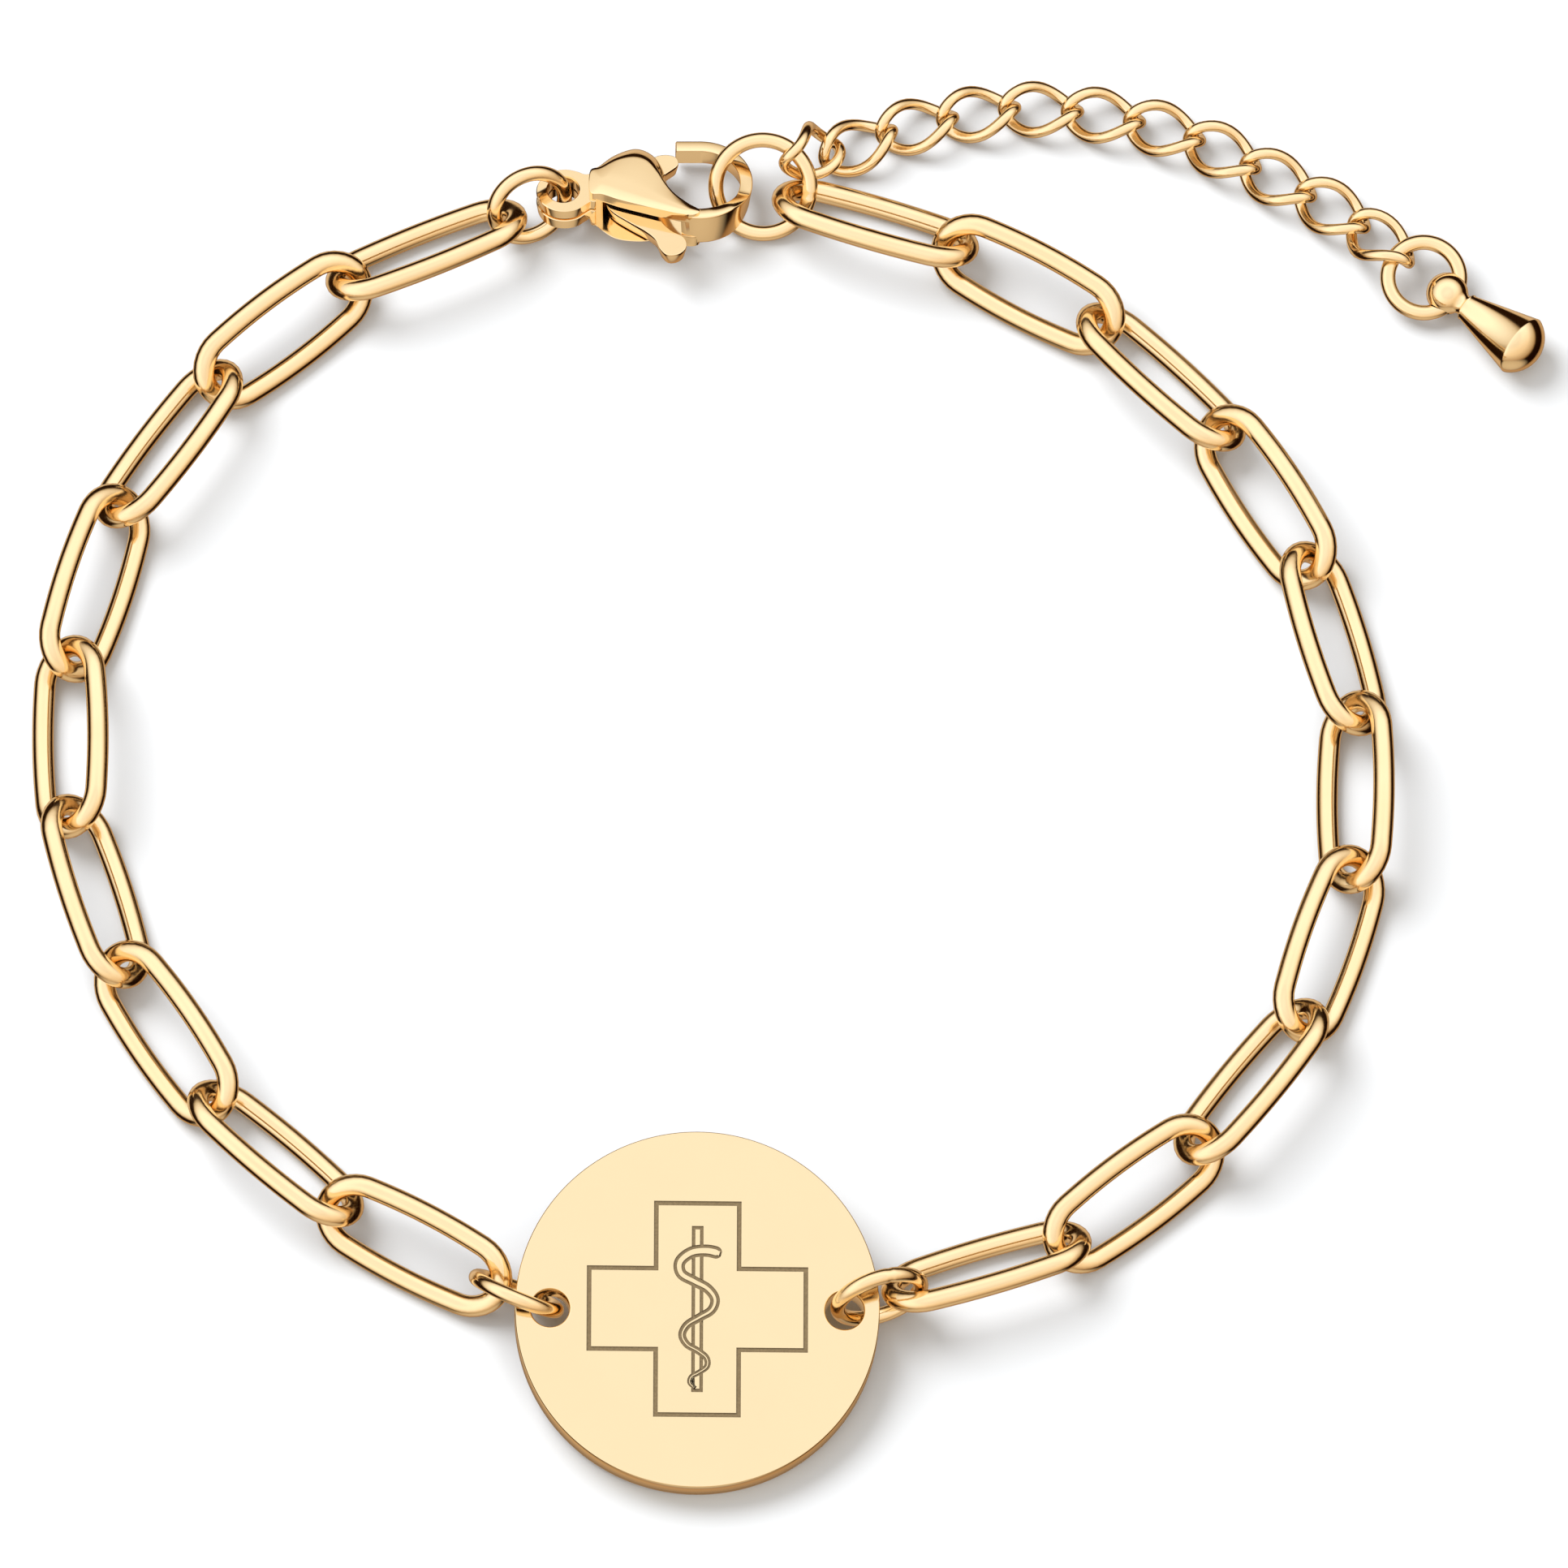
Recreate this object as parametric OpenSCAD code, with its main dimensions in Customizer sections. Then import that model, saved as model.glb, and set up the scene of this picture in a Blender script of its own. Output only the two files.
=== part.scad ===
// Medical alert bracelet lying closed on a table: an engraved disc, two
// lengths of paperclip chain, a lobster clasp hooked into the end ring, and a
// free extension chain of curb links with a ring and a drop at its end.
// Millimetres, +Z up, the table is z = 0. The wearer's wrist goes in the loop.

/* [Disc] */
// Diameter of the engraved disc
disc_d = 15; // [13:0.5:18]
// Thickness of the disc
disc_t = 1.5; // [1:0.1:1.7]
// Diameter of the hole at each side
disc_hole_d = 1.6; // [1.5:0.1:1.9]
// Metal left between a hole and the rim
disc_hole_edge = 0.65; // [0.5:0.05:0.8]
// How far the disc leans towards the viewer, its back edge up on the rings
disc_lean = 8; // [6:1:10]
// How far its left side is up
disc_side_lean = 1.5; // [0:0.5:2.5]

/* [Engraving] */
// Width across the engraved cross
cross_w = 9.1; // [7:0.1:9.6]
// Width of one arm of the cross
cross_arm = 3.6; // [3:0.1:4.2]
// Width of an engraved line
line_w = 0.16; // [0.12:0.01:0.25]
// Depth of an engraved line
line_depth = 0.08; // [0.05:0.01:0.2]
// Length of the staff
staff_l = 7; // [6:0.1:7.6]
// Width of the staff
staff_w = 0.34; // [0.25:0.01:0.5]
// Width of the serpent's widest bend
serpent_w = 2.1; // [1.7:0.1:2.4]

/* [Paperclip links] */
// Outer length of a link
link_l = 9; // [8.8:0.05:9.2]
// Outer width of a link
link_w = 3.75; // [3.6:0.05:4.2]
// Thickness of a link's wire
link_wire = 0.9; // [0.75:0.05:0.95]
// How far each link leans about the chain, left and right in turn
link_roll = 40; // [38:1:45]
// Free play where two links of the left chain meet
left_play = 0.14; // [0.12:0.01:0.25]
// Free play where two links of the right chain meet
right_play = 0.2; // [0.14:0.01:0.25]

/* [Jump rings] */
// Outer diameter of the two rings in the disc
disc_ring_d = 4.2; // [4:0.1:4.6]
// Outer diameter of the ring in the clasp's eye
clasp_ring_d = 3.8; // [3.6:0.1:4.2]
// Outer diameter of the end ring that the clasp hooks into
end_ring_d = 4.6; // [4.4:0.1:5]
// Outer diameter of the ring that carries the drop
drop_ring_d = 3.65; // [3.5:0.05:4]
// Wire of the rings
ring_wire = 0.64; // [0.5:0.02:0.7]

/* [Clasp] */
// Radius of the clasp's body
body_r = 2.05; // [1.95:0.05:2.2]
// Thickness of the body
body_t = 2.2; // [2:0.1:2.6]
// Outer radius of the hook
hook_r = 2.2; // [2:0.05:2.4]
// Width of the hook's band
hook_band = 0.55; // [0.45:0.05:0.7]
// Thickness of the hook at its tip
hook_t = 1; // [0.8:0.1:1.2]
// Outer radius of the eye
eye_r = 1.08; // [1:0.02:1.2]
// Radius of the eye's hole
eye_hole_r = 0.7; // [0.6:0.02:0.75]
// Thickness of the eye
eye_t = 1.3; // [1:0.1:1.6]
// Thickness of the lever
lever_t = 0.8; // [0.6:0.05:1]
// Radius of the lever's thumb tab
tab_r = 0.63; // [0.5:0.01:0.75]
// Radius of the rivet that the lever turns on
rivet_r = 0.4; // [0.3:0.05:0.5]
// How far the clasp leans, its near side up over the end ring
clasp_lean = 14; // [10:1:18]

/* [Extension chain] */
// Outer length of a curb link
curb_l = 3.65; // [3.5:0.05:4]
// Outer width of a curb link
curb_w = 2.5; // [2.4:0.05:2.8]
// Thickness of a curb link's wire
curb_wire = 0.48; // [0.4:0.02:0.5]
// Twist of a curb link from its middle to each end
curb_twist = 58; // [52:1:65]
// Free play where two curb links meet
curb_play = 0.05; // [0.05:0.01:0.15]

/* [Drop] */
// Radius of the bead at the top of the drop
bead_r = 0.88; // [0.84:0.02:1]
// Radius of the neck behind the bead
neck_r = 0.5; // [0.4:0.02:0.6]
// Widest radius of the drop
drop_r = 1.3; // [1.1:0.05:1.4]
// Distance from the bead's centre to the widest place
cone_l = 3.85; // [3:0.1:4.5]
// Radius of the rounded end
end_r = 1.45; // [1.45:0.05:1.8]

/* [Fits] */
// Gap between a ring or link and what it hooks into
ring_gap = 0.06; // [0.04:0.01:0.1]
// Gap between the lever and each shell of the clasp's body
lever_gap = 0.05; // [0.03:0.01:0.1]
// Running gap between the rivet and the lever's hole
rivet_gap = 0.04; // [0.02:0.01:0.08]

/* [Hidden] */
$fn = 48;

// Directions of the paperclip links in plan, counted from the disc, in degrees
left_headings = [151, 138, 123, 107, 91, 73, 55, 39, 23];
right_headings = [17, 38, 52, 71, 89, 105, 121, 135, 150, 162];
// Directions of the curb links that lie on the table, without the first and the last
curb_headings = [26, 14, 10, -3, -10, -18, -28, -29, -32];
// Where the first curb link stands on the end ring, from the ring's middle,
// how it is turned about X, Y and Z, and where it meets the second link
first_curb_place = [2.028, 1.543, 0.218];
first_curb_turn = [40.3, 38.3, 35.9];
curb_start_place = [2.804, 1.609];
// Where the last curb link climbs into the drop's ring, from its joint on the
// table, and how it is turned
last_curb_place = [0.873, -0.914, 1.064];
last_curb_turn = [-12.5, -12.4, -43.7];
// Where the clasp's rivet lies in plan, from the middle of the disc
rivet_place = [-2.6, 50.05];
// Tilt of each ring from flat, and the direction of its level axis in plan
left_ring_pose = [65, 155];
right_ring_pose = [85, 17];
clasp_ring_pose = [61, 25];
end_ring_pose = [32, -6];
drop_ring_pose = [12, 9];
// Slack and direction of each chain's end in its ring
left_start_grip = [0.22, 152];
left_goal_grip = [0.16, 206];
right_start_grip = [0.34, 36];
right_goal_grip = [0.26, -28];
// Place of the drop's ring from the same joint, the direction from its middle
// to the drop's bead, and the direction in which the drop points
drop_ring_place = [2.669, -2.519, 1.03];
bead_direction = -34;
drop_heading = -40;
// How far inside the ring's wire the bead's middle lies
bead_inset = 0.32;

// Paperclip link: reach of its wire to the side, pitch and resting height
link_reach = (link_w - link_wire) / 2;
left_pitch = link_l - 2 * link_wire - left_play;
right_pitch = link_l - 2 * link_wire - right_play;
link_axis_z = link_wire / 2 + link_reach * sin(link_roll);

// Curb link: half length and half width of its centre line, and its pitch
curb_half_l = (curb_l - curb_wire) / 2;
curb_half_w = (curb_w - curb_wire) / 2;
curb_pitch = curb_l - 2 * curb_wire - curb_play;
curb_steps = 16;
curb_sides = 6;

// Disc: distance of each hole from its middle, and height of its middle
disc_hole_at = disc_d / 2 - disc_hole_edge - disc_hole_d / 2;
disc_normal_z = cos(disc_lean) * cos(disc_side_lean);
disc_lift = disc_d / 2 * sqrt(1 - pow(disc_normal_z, 2));

// Clasp, in its own flat frame with the rivet at its origin and +X to the hook
hook_at = [body_r + 0.65, 0.33];
hook_in = hook_r - hook_band;
eye_at = [-(body_r + eye_r - 0.1), -0.18];
mid_t = 1;
face_r = body_r - 0.7;
slot_r = body_r - 0.4;
root_t = body_t - 0.5;
neck_w = 1.1;
neck_t = eye_t - 0.2;
slot_t = lever_t + 2 * lever_gap;
root_y = hook_at[1] - hook_r;
tab_at = [hook_at[0] - 1.17, root_y - tab_r - 0.25];
tip_x = hook_at[0] - 1.05;
nose_gap = 0.09;
nose_y = hook_at[1] + hook_in - nose_gap;
slot_end = hook_at[0] - 0.6;
hub_r = 0.85;
clasp_lift = face_r * sin(clasp_lean) + body_t / 2 * cos(clasp_lean);

function sum(v, i = 0) = i == len(v) ? 0 : v[i] + sum(v, i + 1);
function plan(a) = [cos(a), sin(a)];
function flat(p) = [p[0], p[1]];
function above(p, z) = [p[0], p[1], z];

// A point of the disc, given in the disc's own frame
function disc_point(p) =
    let (y = p[1] * cos(disc_lean) - p[2] * sin(disc_lean),
         z = p[1] * sin(disc_lean) + p[2] * cos(disc_lean))
    [p[0] * cos(disc_side_lean) + z * sin(disc_side_lean), y,
     disc_lift - p[0] * sin(disc_side_lean) + z * cos(disc_side_lean)];

// A point of the clasp, given in the clasp's own frame
function clasp_point(p) =
    [rivet_place[0] + p[0],
     rivet_place[1] + p[1] * cos(clasp_lean) + p[2] * sin(clasp_lean),
     clasp_lift - p[1] * sin(clasp_lean) + p[2] * cos(clasp_lean)];

// Height at which a tilted ring stands on the table
function ring_lift(d, pose) = (d - ring_wire) / 2 * sin(pose[0]) + ring_wire / 2;

// Middle of a link's end wire in a ring: short of the ring's wire by a slack,
// in a direction from the ring's middle
function gripped(c, d, grip) =
    [c[0], c[1]] + (d / 2 - ring_wire - link_wire / 2 - grip[0]) * plan(grip[1]);

// Rings in the disc's holes: how far each stands off the hole's inner side,
// and how far towards the back of the hole it lies
hole_slack = 0.22;
hole_shift = 0.17;
function disc_ring_centre(side, pose) =
    let (hole = disc_point([side * disc_hole_at, 0, disc_t / 2]),
         reach = disc_ring_d / 2 - disc_hole_d / 2 + hole_slack,
         p = [hole[0], hole[1]] + reach * plan(pose[1]) + [0, hole_shift])
    above(p, ring_lift(disc_ring_d, pose));
left_ring_centre = disc_ring_centre(-1, left_ring_pose);
right_ring_centre = disc_ring_centre(1, right_ring_pose);

// Ring in the clasp's eye: its wire runs through the hole, its middle lies that
// way from the hole
clasp_ring_reach = (clasp_ring_d - ring_wire) / 2;
eye_point = clasp_point([eye_at[0], eye_at[1], 0]);
clasp_ring_side = [0.9, 0.223];
clasp_ring_centre =
    above(flat(eye_point) - clasp_ring_reach * clasp_ring_side, ring_lift(clasp_ring_d, clasp_ring_pose));

// End ring: it stands on its near side, over the hook's arm and under its root,
// short of the hook's inside by some play and a little back from the rivet
hook_play = 0.69;
end_ring_shift = 0.45;
end_ring_reach = (end_ring_d - ring_wire) / 2;
end_ring_place = rivet_place
    + [hook_at[0] + hook_in - ring_wire / 2 - hook_play + end_ring_reach, end_ring_shift];
end_ring_centre = above(end_ring_place, ring_lift(end_ring_d, end_ring_pose));

// Ends of the two chains, at the middle of the end wires
left_start = gripped(left_ring_centre, disc_ring_d, left_start_grip);
left_goal = gripped(clasp_ring_centre, clasp_ring_d, left_goal_grip);
right_start = gripped(right_ring_centre, disc_ring_d, right_start_grip);
right_goal = gripped(end_ring_centre, end_ring_d, right_goal_grip);

// A chain's joints, each one pitch after the last
function joints(p, headings, pitch, i = 0) =
    i == len(headings) ? [p] : concat([p], joints(p + pitch * plan(headings[i]), headings, pitch, i + 1));
// The same headings turned by a, and bent by b more from link to link
function bent(h, a, b) = [for (i = [0:len(h) - 1]) h[i] + a + b * (i - (len(h) - 1) / 2)];
// What a chain of these headings reaches, its end wires included
function chain_span(h, pitch) =
    pitch * [sum([for (a = h) cos(a)]), sum([for (a = h) sin(a)])]
        + (link_l - link_wire - pitch) / 2 * (plan(h[0]) + plan(h[len(h) - 1]));
// Headings turned and bent until the chain reaches from its start to its goal
function closed(h, pitch, span, tries) =
    tries == 0 ? h :
    let (step = 0.01,
         reached = chain_span(h, pitch),
         miss = span - reached,
         by_turn = (chain_span(bent(h, step, 0), pitch) - reached) / step,
         by_bend = (chain_span(bent(h, 0, step), pitch) - reached) / step,
         det = by_turn[0] * by_bend[1] - by_turn[1] * by_bend[0],
         a = (miss[0] * by_bend[1] - miss[1] * by_bend[0]) / det,
         b = (by_turn[0] * miss[1] - by_turn[1] * miss[0]) / det)
    closed(bent(h, a, b), pitch, span, tries - 1);

left_run = closed(left_headings, left_pitch, flat(left_goal) - flat(left_start), 6);
right_run = closed(right_headings, right_pitch, flat(right_goal) - flat(right_start), 6);
left_joints = joints(left_start + (link_l - link_wire - left_pitch) / 2 * plan(left_run[0]), left_run, left_pitch);
right_joints = joints(right_start + (link_l - link_wire - right_pitch) / 2 * plan(right_run[0]), right_run, right_pitch);

// Centre line of a curb link, an oval whose two ends are twisted against each other
function curb_line(t) =
    let (x = curb_half_l * cos(t), y = curb_half_w * sin(t), twist = -curb_twist * cos(t))
    [x, y * cos(twist), y * sin(twist)];
curb_axis_z = curb_wire / 2 + max([for (i = [0:curb_steps - 1]) curb_line(i * 360 / curb_steps)[2]]);

// Curb links: the first rides on the end ring, the last climbs into the drop's
// ring, and the rest lie along the table
curb_joints = joints(end_ring_place + curb_start_place, curb_headings, curb_pitch);
curb_last = len(curb_joints) - 1;
curb_count = len(curb_headings) + 2;

// Ring and drop at the end of the extension chain
drop_ring_centre = above(curb_joints[curb_last], 0) + drop_ring_place;
bead_reach = (drop_ring_d - ring_wire) / 2 - bead_inset;
bead_at = above(flat(drop_ring_centre) + bead_reach * cos(drop_ring_pose[0] / 2) * plan(bead_direction), bead_r);
drop_slope = asin((drop_r - bead_r) / cone_l);

// Middle of the whole bracelet in plan
left_side = min([for (p = left_joints) p[0]]) - link_reach * cos(link_roll) - link_wire / 2;
right_side = bead_at[0] + (cone_l + drop_r) * cos(drop_heading);
near_side = -disc_d / 2;
far_side = max([for (p = curb_joints) p[1]]) + curb_w / 2;
middle = [(left_side + right_side) / 2, (near_side + far_side) / 2];

module placed() translate([-middle[0], -middle[1], 0]) children();
module in_disc_frame() placed() translate([0, 0, disc_lift])
    rotate([disc_lean, disc_side_lean, 0]) children();
module in_clasp_frame() placed() translate(above(rivet_place, clasp_lift))
    rotate([-clasp_lean, 0, 0]) children();

// Round wire bent into a closed ring
module wire_ring(d, wire) rotate_extrude() translate([(d - wire) / 2, 0]) circle(d = wire);

// Part of a flat ring between two radii, from one angle on through a sweep
module arc_band(r_out, r_in, from, sweep) rotate(from)
    intersection() {
        difference() {
            circle(r = r_out);
            circle(r = r_in);
        }
        polygon([for (i = [0:8]) i == 0 ? [0, 0] : 2 * r_out * plan((i - 1) * sweep / 7)]);
    }

// The engraved lines: a plain outlined cross, a staff and a serpent round it
module plus_shape(w, arm) {
    square([w, arm], center = true);
    square([arm, w], center = true);
}
module engraving() {
    difference() {
        plus_shape(cross_w, cross_arm);
        plus_shape(cross_w - 2 * line_w, cross_arm - 2 * line_w);
    }
    square([staff_w, staff_l], center = true);
    translate([0, staff_l / 2]) circle(r = staff_w);
    for (i = [0:3]) {
        side = i % 2 == 0 ? 1 : -1;
        bend = serpent_w / 2 - i * 0.13;
        translate([0, 1.75 - i * 1.3]) difference() {
            translate([0, -bend]) square([2 * bend, 2 * bend]);
            circle(r = bend);
        }
    }
}

module disc() color("gold") in_disc_frame() difference() {
    cylinder(d = disc_d, h = disc_t, $fn = 96);
    for (side = [-1, 1]) translate([side * disc_hole_at, 0, -1]) cylinder(d = disc_hole_d, h = disc_t + 2);
    translate([0, 0, disc_t - line_depth]) linear_extrude(1) engraving();
}

// One paperclip link, lying flat along X: two straight wires and two half rings
module paperclip_link() {
    straight = link_l - link_w;
    for (side = [-1, 1]) {
        translate([side * straight / 2, 0, 0]) rotate([0, 0, -side * 90])
            rotate_extrude(angle = 180) translate([link_reach, 0]) circle(d = link_wire);
        translate([-straight / 2, side * link_reach, 0]) rotate([0, 90, 0])
            cylinder(d = link_wire, h = straight);
    }
}

module chain_link(points, headings, i) {
    centre = (points[i - 1] + points[i]) / 2;
    side = i % 2 == 0 ? 1 : -1;
    color("gold") placed() translate(above(centre, link_axis_z))
        rotate([0, 0, headings[i - 1]]) rotate([side * link_roll, 0, 0]) paperclip_link();
}
module link_left(i) chain_link(left_joints, left_run, i);
module link_right(i) chain_link(right_joints, right_run, i);

module posed_ring(centre, pose, d) color("gold") placed() translate(centre)
    rotate([pose[0], 0, pose[1]]) wire_ring(d, ring_wire);
module disc_ring_left() posed_ring(left_ring_centre, left_ring_pose, disc_ring_d);
module disc_ring_right() posed_ring(right_ring_centre, right_ring_pose, disc_ring_d);
module clasp_ring() posed_ring(clasp_ring_centre, clasp_ring_pose, clasp_ring_d);
module end_ring() posed_ring(end_ring_centre, end_ring_pose, end_ring_d);
module drop_ring() posed_ring(drop_ring_centre, drop_ring_pose, drop_ring_d);

// The clasp's hook: a flat band round a circle with a straight arm to its tip,
// thick at the root and thinner towards the arm
module hook() intersection() {
    translate([0, 0, -2]) linear_extrude(4) {
        translate(hook_at) arc_band(hook_r, hook_in, -108, 198);
        translate(hook_at) polygon([
            [tip_x - hook_at[0], hook_in], [tip_x - hook_at[0], hook_r], [0, hook_r],
            [0.3, hook_r - 0.1], [0.3, hook_in + 0.1], [0, hook_in]]);
    }
    rotate([90, 0, 90]) linear_extrude(10) polygon([
        [root_y - 1, -root_t / 2], [root_y + 0.5, -root_t / 2], [root_y + 1.4, -hook_t * 0.6],
        [hook_at[1] + hook_r + 1, -hook_t / 2], [hook_at[1] + hook_r + 1, hook_t / 2],
        [root_y + 1.4, hook_t * 0.6], [root_y + 0.5, root_t / 2], [root_y - 1, root_t / 2]]);
}

// The body without its hook: a round shell chamfered to a smaller face on each
// side, a tongue that runs into the hook's root, and a neck to the eye
module clasp_shells() {
    rotate_extrude() polygon([[0, -body_t / 2], [face_r, -body_t / 2], [body_r, -mid_t / 2],
                              [body_r, mid_t / 2], [face_r, body_t / 2], [0, body_t / 2]]);
    translate([0, 0, 0.08 - root_t / 2]) linear_extrude(root_t - 0.16)
        polygon([[-0.3, 0.1 - body_r], [hook_at[0] - 0.15, root_y + 0.06],
                 [hook_at[0] - 0.15, root_y + 0.42], [0.8, 0.6]]);
    translate([eye_at[0] + eye_hole_r + 0.1, eye_at[1] - neck_w / 2, -neck_t / 2])
        cube([eye_r, neck_w, neck_t]);
}

// The lever turns in a slot between the two shells, open towards the thumb tab
// and the nose and closed at the back
module slot_outline() {
    circle(r = slot_r);
    polygon([[-1.2, -1], [1.1, 0.4], [1.9, -1.1], [slot_end, -1.9], [slot_end, -4], [-1.5, -4]]);
    polygon([[-0.2, 1], [0.35, 3], [2.2, 3], [2.4, 1], [1.2, -0.4]]);
}

module clasp_body() color("gold") in_clasp_frame() difference() {
    union() {
        difference() {
            union() {
                clasp_shells();
                translate([eye_at[0], eye_at[1], -eye_t / 2]) cylinder(r = eye_r, h = eye_t);
            }
            translate([0, 0, -2]) linear_extrude(4)
                polygon([[1.15, 1.2], [hook_at[0] - 0.25, root_y + 0.56], [4, 0], [4, 3], [1.15, 3]]);
            translate([0, 0, -slot_t / 2]) linear_extrude(slot_t) slot_outline();
        }
        hook();
    }
    translate([eye_at[0], eye_at[1], -2]) cylinder(r = eye_hole_r, h = 4);
    translate([slot_end - 3, root_y - 1, -slot_t / 2]) cube([3, 1.7, slot_t]);
    translate([0, 0, -2]) cylinder(r = rivet_r, h = 4);
}

// The lever: a hub on the rivet, a nose that closes the hook behind its tip,
// and an arm down to the thumb tab
module clasp_lever() color("gold") in_clasp_frame() difference() {
    translate([0, 0, -lever_t / 2]) {
        linear_extrude(lever_t) polygon([
            [0.75, 0.1], [1.75, nose_y - 0.28], [1.4, nose_y], [0.7, nose_y - 0.07], [-0.3, 0.6], [-0.7, 0.35],
            [-1.35, -0.6], [-1.1, -1.1], [0.3, -2.1], tab_at - [0.5, 0.1], tab_at + [0.45, 0.1],
            [1.1, -1.7], [0.75, -0.1]]);
        cylinder(r = hub_r, h = lever_t);
        translate(tab_at) cylinder(r = tab_r, h = lever_t);
    }
    translate([0, 0, -2]) cylinder(r = rivet_r + rivet_gap, h = 4);
}

module clasp_rivet() color("gold") in_clasp_frame()
    translate([0, 0, -body_t / 2]) cylinder(r = rivet_r, h = body_t);

// One curb link as a bent tube along its twisted centre line
module curb_tube() {
    step = 360 / curb_steps;
    rings = [for (i = [0:curb_steps - 1])
        let (t = i * step,
             along = curb_line(t + 0.5) - curb_line(t - 0.5),
             side = cross(along, [0, sin(curb_twist * cos(t)), cos(curb_twist * cos(t))]),
             a = side / norm(side),
             b = cross(a, along / norm(along)))
        [for (k = [0:curb_sides - 1])
            curb_line(t) + curb_wire / 2 * (cos(k * 360 / curb_sides) * a + sin(k * 360 / curb_sides) * b)]];
    polyhedron(
        points = [for (ring = rings) each ring],
        faces = [for (i = [0:curb_steps - 1], k = [0:curb_sides - 1], half = [0, 1])
            let (j = (i + 1) % curb_steps, m = (k + 1) % curb_sides,
                 a = i * curb_sides + k, b = i * curb_sides + m,
                 c = j * curb_sides + m, d = j * curb_sides + k)
            half == 0 ? [a, b, c] : [a, c, d]]);
}

module first_curb_link() translate(end_ring_centre + first_curb_place) rotate(first_curb_turn) curb_tube();
module last_curb_link() translate(above(curb_joints[curb_last], 0) + last_curb_place)
    rotate(last_curb_turn) curb_tube();
module next_curb_link(i) translate(above((curb_joints[i] + curb_joints[i + 1]) / 2, curb_axis_z))
    rotate([0, 0, curb_headings[i]]) curb_tube();
module curb_link(i) color("gold") placed() {
    if (i == 1) first_curb_link();
    else if (i == curb_count) last_curb_link();
    else next_curb_link(i - 2);
}

// The drop: a bead drilled for its ring, a neck and a cone with a round end
module drop() color("gold") difference() {
    placed() translate(bead_at) rotate([0, 90 - drop_slope, drop_heading]) {
        sphere(r = bead_r);
        cylinder(r = neck_r, h = bead_r + 0.3);
        translate([0, 0, bead_r]) cylinder(r1 = neck_r + 0.05, r2 = drop_r, h = cone_l - bead_r);
        intersection() {
            translate([0, 0, cone_l - sqrt(end_r * end_r - drop_r * drop_r)]) sphere(r = end_r);
            translate([0, 0, cone_l - 0.01]) cylinder(r = drop_r, h = 2);
        }
    }
    placed() translate(drop_ring_centre) rotate([drop_ring_pose[0], 0, drop_ring_pose[1]])
        wire_ring(drop_ring_d + ring_gap * 2, ring_wire + ring_gap * 2);
}

disc();
disc_ring_left();
disc_ring_right();
for (i = [1:len(left_headings)]) link_left(i);
for (i = [1:len(right_headings)]) link_right(i);
clasp_ring();
clasp_body();
clasp_rivet();
clasp_lever();
end_ring();
for (i = [1:curb_count]) curb_link(i);
drop_ring();
drop();
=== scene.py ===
# %% [markdown]
# # A gold medical alert bracelet, dressed for the camera
# The bracelet lies closed on a pale table: a round engraved disc in front,
# two lengths of paperclip chain, a lobster clasp that holds an end ring at
# the back, and a free extension chain of curb links with a small drop.
# The solids that come in with the frame have the true sizes and places. Here
# each of them gets a smoother twin with the rounded edges, the engraving and
# the polished gold that a lens sees.

# %% The frame
import math
import bpy
import bmesh
import numpy as np
from mathutils import Matrix, Vector


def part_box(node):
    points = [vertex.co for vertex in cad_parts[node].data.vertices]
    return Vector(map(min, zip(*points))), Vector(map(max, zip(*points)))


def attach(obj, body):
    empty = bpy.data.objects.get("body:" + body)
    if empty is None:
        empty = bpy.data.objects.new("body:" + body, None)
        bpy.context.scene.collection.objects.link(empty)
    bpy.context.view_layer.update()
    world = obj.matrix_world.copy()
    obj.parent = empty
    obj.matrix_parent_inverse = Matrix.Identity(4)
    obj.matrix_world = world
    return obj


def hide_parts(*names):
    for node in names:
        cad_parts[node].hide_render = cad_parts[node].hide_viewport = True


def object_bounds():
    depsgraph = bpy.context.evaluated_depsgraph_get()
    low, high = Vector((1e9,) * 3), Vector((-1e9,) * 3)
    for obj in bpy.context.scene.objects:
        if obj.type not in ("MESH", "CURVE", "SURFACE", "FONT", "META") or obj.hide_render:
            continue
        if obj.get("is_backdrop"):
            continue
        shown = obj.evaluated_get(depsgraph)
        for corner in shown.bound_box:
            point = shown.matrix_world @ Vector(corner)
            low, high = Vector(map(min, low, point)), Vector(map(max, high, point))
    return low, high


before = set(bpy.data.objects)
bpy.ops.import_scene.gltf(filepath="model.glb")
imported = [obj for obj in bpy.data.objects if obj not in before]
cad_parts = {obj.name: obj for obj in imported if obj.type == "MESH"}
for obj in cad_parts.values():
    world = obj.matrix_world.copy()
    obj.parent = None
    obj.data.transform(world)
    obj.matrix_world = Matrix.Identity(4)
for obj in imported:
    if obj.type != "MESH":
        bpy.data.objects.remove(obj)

cad_low, cad_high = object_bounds()

# %% [markdown]
# Jewellery is measured in millimetres and Blender counts in metres, so every
# mesh is modelled in millimetres and shrunk once, when its piece is finished.
# A mesh could also be modelled small from the start, but then each number
# would be hard to read and to check against a ruler.

# %% From millimetres to a finished piece
MM = 0.001


def finish_piece(name, bm, place, material, replaced, body="bracelet", sharp=40):
    """Puts a bmesh in millimetres in its place as a piece; bends over `sharp` degrees stay crisp."""
    bmesh.ops.transform(bm, matrix=Matrix.Scale(MM, 4) @ place, verts=bm.verts)
    mesh = bpy.data.meshes.new(name)
    bm.to_mesh(mesh)
    bm.free()
    for face in mesh.polygons:
        face.use_smooth = True
    mesh.set_sharp_from_angle(angle=math.radians(sharp))
    mesh.materials.append(material)
    piece = bpy.data.objects.new(name, mesh)
    bpy.context.scene.collection.objects.link(piece)
    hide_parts(*replaced)
    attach(piece, body)
    return piece


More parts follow.
